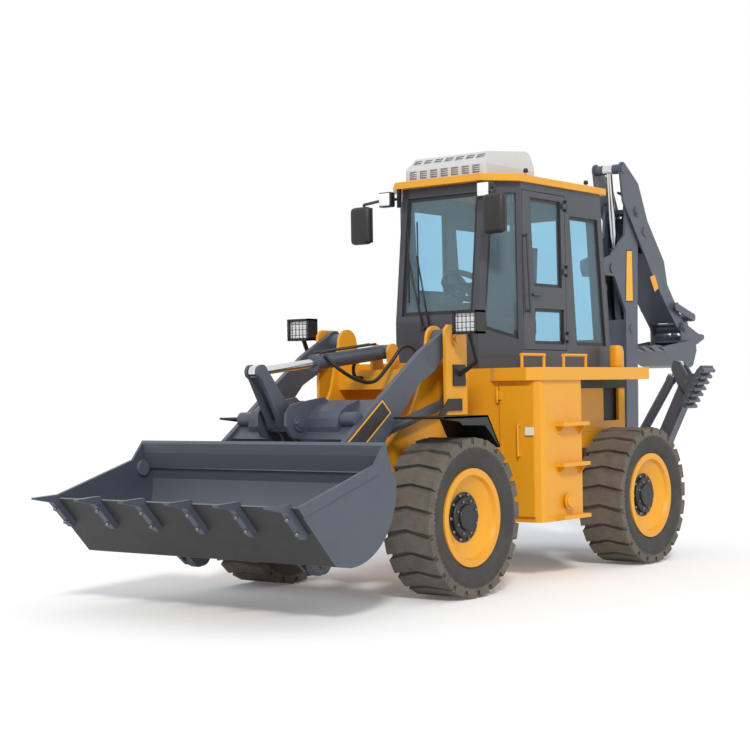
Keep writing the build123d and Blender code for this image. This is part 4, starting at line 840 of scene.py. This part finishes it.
# front fenders: level at the front end, with a turned edge and a carrier at the frame
FENDER = [(1.286, 1.068), (1.441, 1.301), (2.001, 1.299), (1.995, 1.284), (1.449, 1.286), (1.300, 1.062)]
FENDER_LIP = [(2.001, 1.299), (1.441, 1.301), (1.286, 1.068), (1.300, 1.062), (1.400, 1.165),
              (1.480, 1.228), (1.760, 1.236), (1.800, 1.262), (2.001, 1.284)]
CARRIER = [(1.150, 1.330), (1.150, 1.420), (1.320, 1.420), (1.460, 1.295), (1.440, 1.280), (1.330, 1.330)]
# each sheet's distances from the middle plane
FENDER_SHEETS = [(FENDER, 0.630, 1.060), (FENDER_LIP, 1.052, 1.060), (CARRIER, 0.625, 0.637)]


def front_fenders():
    sheets = []
    for side in (1, -1):
        for outline, inner, outer in FENDER_SHEETS:
            sheets.append((outline, *sorted((side * inner, side * outer))))
    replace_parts(prisms("front_fender_sheets", sheets, BLACK, "front_machine"), "front_fenders")


front_fenders()

# pin caps: name, joint on whose pin it sits, distance from the middle plane, radius, material, body
PIN_CAPS = [
    ("arm_pin_cap", "lift", 0.625, 0.055, YELLOW, "front_machine"),
    ("rocker_pin_cap", "rocker_turn", 0.147, 0.058, SLATE, "lift_arms"),
    ("bucket_pin_cap", "bucket_tilt", 0.620, 0.048, SLATE, "lift_arms"),
    ("boom_foot_cap", "boom_turn", 0.125, 0.048, SLATE, "boom"),
    ("dipper_pin_cap", "dipper_turn", 0.150, 0.048, SLATE, "boom"),
    ("scoop_pin_cap", "backhoe_bucket_turn", 0.172, 0.040, SLATE, "dipper"),
]
CAP_RISE, MIDDLE_RISE = 0.012, 0.008
# shares of the cap's radius: the raised middle, and the keeper bolt's place and radius
MIDDLE_SHARE, BOLT_PLACE, BOLT_SHARE = 0.55, 0.74, 0.16


def pin_cap(name, joint, y, side, radius, material, body):
    """Round cap with a raised middle and a keeper bolt in front of it."""
    x, _, z = PIN[joint]
    face = side * y
    top = face + side * CAP_RISE
    keeper = (x + radius * BOLT_PLACE, z)
    stud(name, (x, z), face, side, material, body, 28, CAP_RISE, radius)
    stud(name + "_centre", (x, z), top, side, material, body, 24, MIDDLE_RISE, radius * MIDDLE_SHARE)
    stud(name + "_bolt", keeper, top, side, STEEL, body, 6, MIDDLE_RISE, radius * BOLT_SHARE)


def leg_pin_cap(leg):
    """Pin end on the front face of a stabiliser's leg, where the pad turns."""
    x, y, z = PIN[leg + "_pad_turn"]
    half_leg, rise, radius = 0.060, 0.029, 0.020
    face = x + half_leg
    rod("leg_pin_cap", (face - LAP, y, z), (face + rise, y, z), radius, STEEL, leg + "_leg", 20)


for side, leg in [(1, "left_stabiliser"), (-1, "right_stabiliser")]:
    for name, joint, y, radius, material, body in PIN_CAPS:
        pin_cap(name, joint, y, side, radius, material, body)
    leg_pin_cap(leg)

# loader bucket: bolts on the teeth, weld seam along the back and a round boss on each end plate
TEETH = 6
TOOTH_PITCH = 0.424
# (X, Z) of both ends of the two bolts on a tooth's outer face
TOOTH_BOLTS = [((3.656, 0.716), (3.674, 0.699)), ((3.566, 0.620), (3.584, 0.603))]
TOOTH_BOLT_R = 0.013
SEAM = (2.711, 0.947)
SEAM_R = 0.0055
BOSS = (2.775, 0.948)
BOSS_RISE, BOSS_RADIUS, BOSS_TOP_RADIUS = 0.016, 0.062, 0.056


def tooth_bolts():
    for tooth in range(TEETH):
        y = (tooth - (TEETH - 1) / 2) * TOOTH_PITCH
        for (x0, z0), (x1, z1) in TOOTH_BOLTS:
            rod("tooth_bolt", (x0, y, z0), (x1, y, z1), TOOTH_BOLT_R, STEEL, "loader_bucket", 6)


def bucket_inside():
    """Weld seam along the back, and a round boss on each end plate."""
    x, z = SEAM
    y = END_PLATE_Y - LAP
    rod("bucket_seam", (x, -y, z), (x, y, z), SEAM_R, INSIDE_LIGHTENED, "loader_bucket", 6)
    for side in (1, -1):
        face = side * END_PLATE_Y
        stud("bucket_boss", BOSS, face, -side, INSIDE_LIGHTENED, "loader_bucket", 28, BOSS_RISE, BOSS_RADIUS,
             BOSS_TOP_RADIUS)


# box sections beside the rocker brackets; when the arms are raised, the lift rods pass outside them
BOX_SECTION = [(2.120, 1.425), (2.260, 1.392), (2.335, 1.352), (2.368, 1.300), (2.376, 1.240),
               (2.366, 1.190), (2.200, 1.190)]
BOX_IN, BOX_OUT = 0.146, 0.420


def box_sections():
    for side in (1, -1):
        y0, y1 = sorted((side * BOX_IN, side * BOX_OUT))
        slab("torsion_front", BOX_SECTION, y0, y1, SLATE, "lift_arms")


tooth_bolts()
bucket_inside()
box_sections()

# hoses and pipes of the loader and the digging arm
TILT_PIPE_R, TILT_HOSE_R = 0.009, 0.014
BOOM_PIPE_R, DIPPER_HOSE_R = 0.011, 0.012
TILT_HOSES = [
    [(2.06, 0.050, 1.755), (1.98, 0.110, 1.660), (1.80, 0.140, 1.575), (1.60, 0.150, 1.560),
     (1.42, 0.165, 1.690), (1.30, 0.190, 1.815), (1.215, 0.240, 1.800), (1.185, 0.280, 1.640)],
    [(1.46, -0.050, 1.780), (1.50, -0.120, 1.690), (1.44, -0.160, 1.600), (1.33, -0.180, 1.590)],
]


def tilt_lines():
    """Two pipes along the tilt cylinder, and two hoses from the front frame to it."""
    for y in (0.030, -0.030):
        route = [(1.42, y, 1.845), (1.70, y, 1.815), (2.00, y, 1.785), (2.085, y, 1.770)]
        tube("tilt_pipe", route, TILT_PIPE_R, DARK, "tilt_barrel", sides=8, steps=4)
    for k, route in enumerate(TILT_HOSES):
        line = tube("tilt_hose_" + str(k + 1), route, TILT_HOSE_R, BLACK)
        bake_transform(line)


def digging_arm_lines():
    """Four pipes along the boom's back, each with a hose on to the dipper."""
    for y in (0.080, 0.050, -0.050, -0.080):
        pipe = [(-2.515, y, 1.20), (-2.530, y, 1.90), (-2.556, y, 2.72), (-2.590, y, 3.00)]
        tube("boom_pipe", pipe, BOOM_PIPE_R, DARK, "boom", sides=8, steps=6)
        route = [(-2.590, y, 3.000), (-2.655, y, 3.140), (-2.680, y, 3.250), (-2.640, y, 3.330),
                 (-2.560, y, 3.350)]
        line = tube("dipper_hose", route, DIPPER_HOSE_R, BLACK)
        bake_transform(line)


tilt_lines()
digging_arm_lines()

save_bounds()
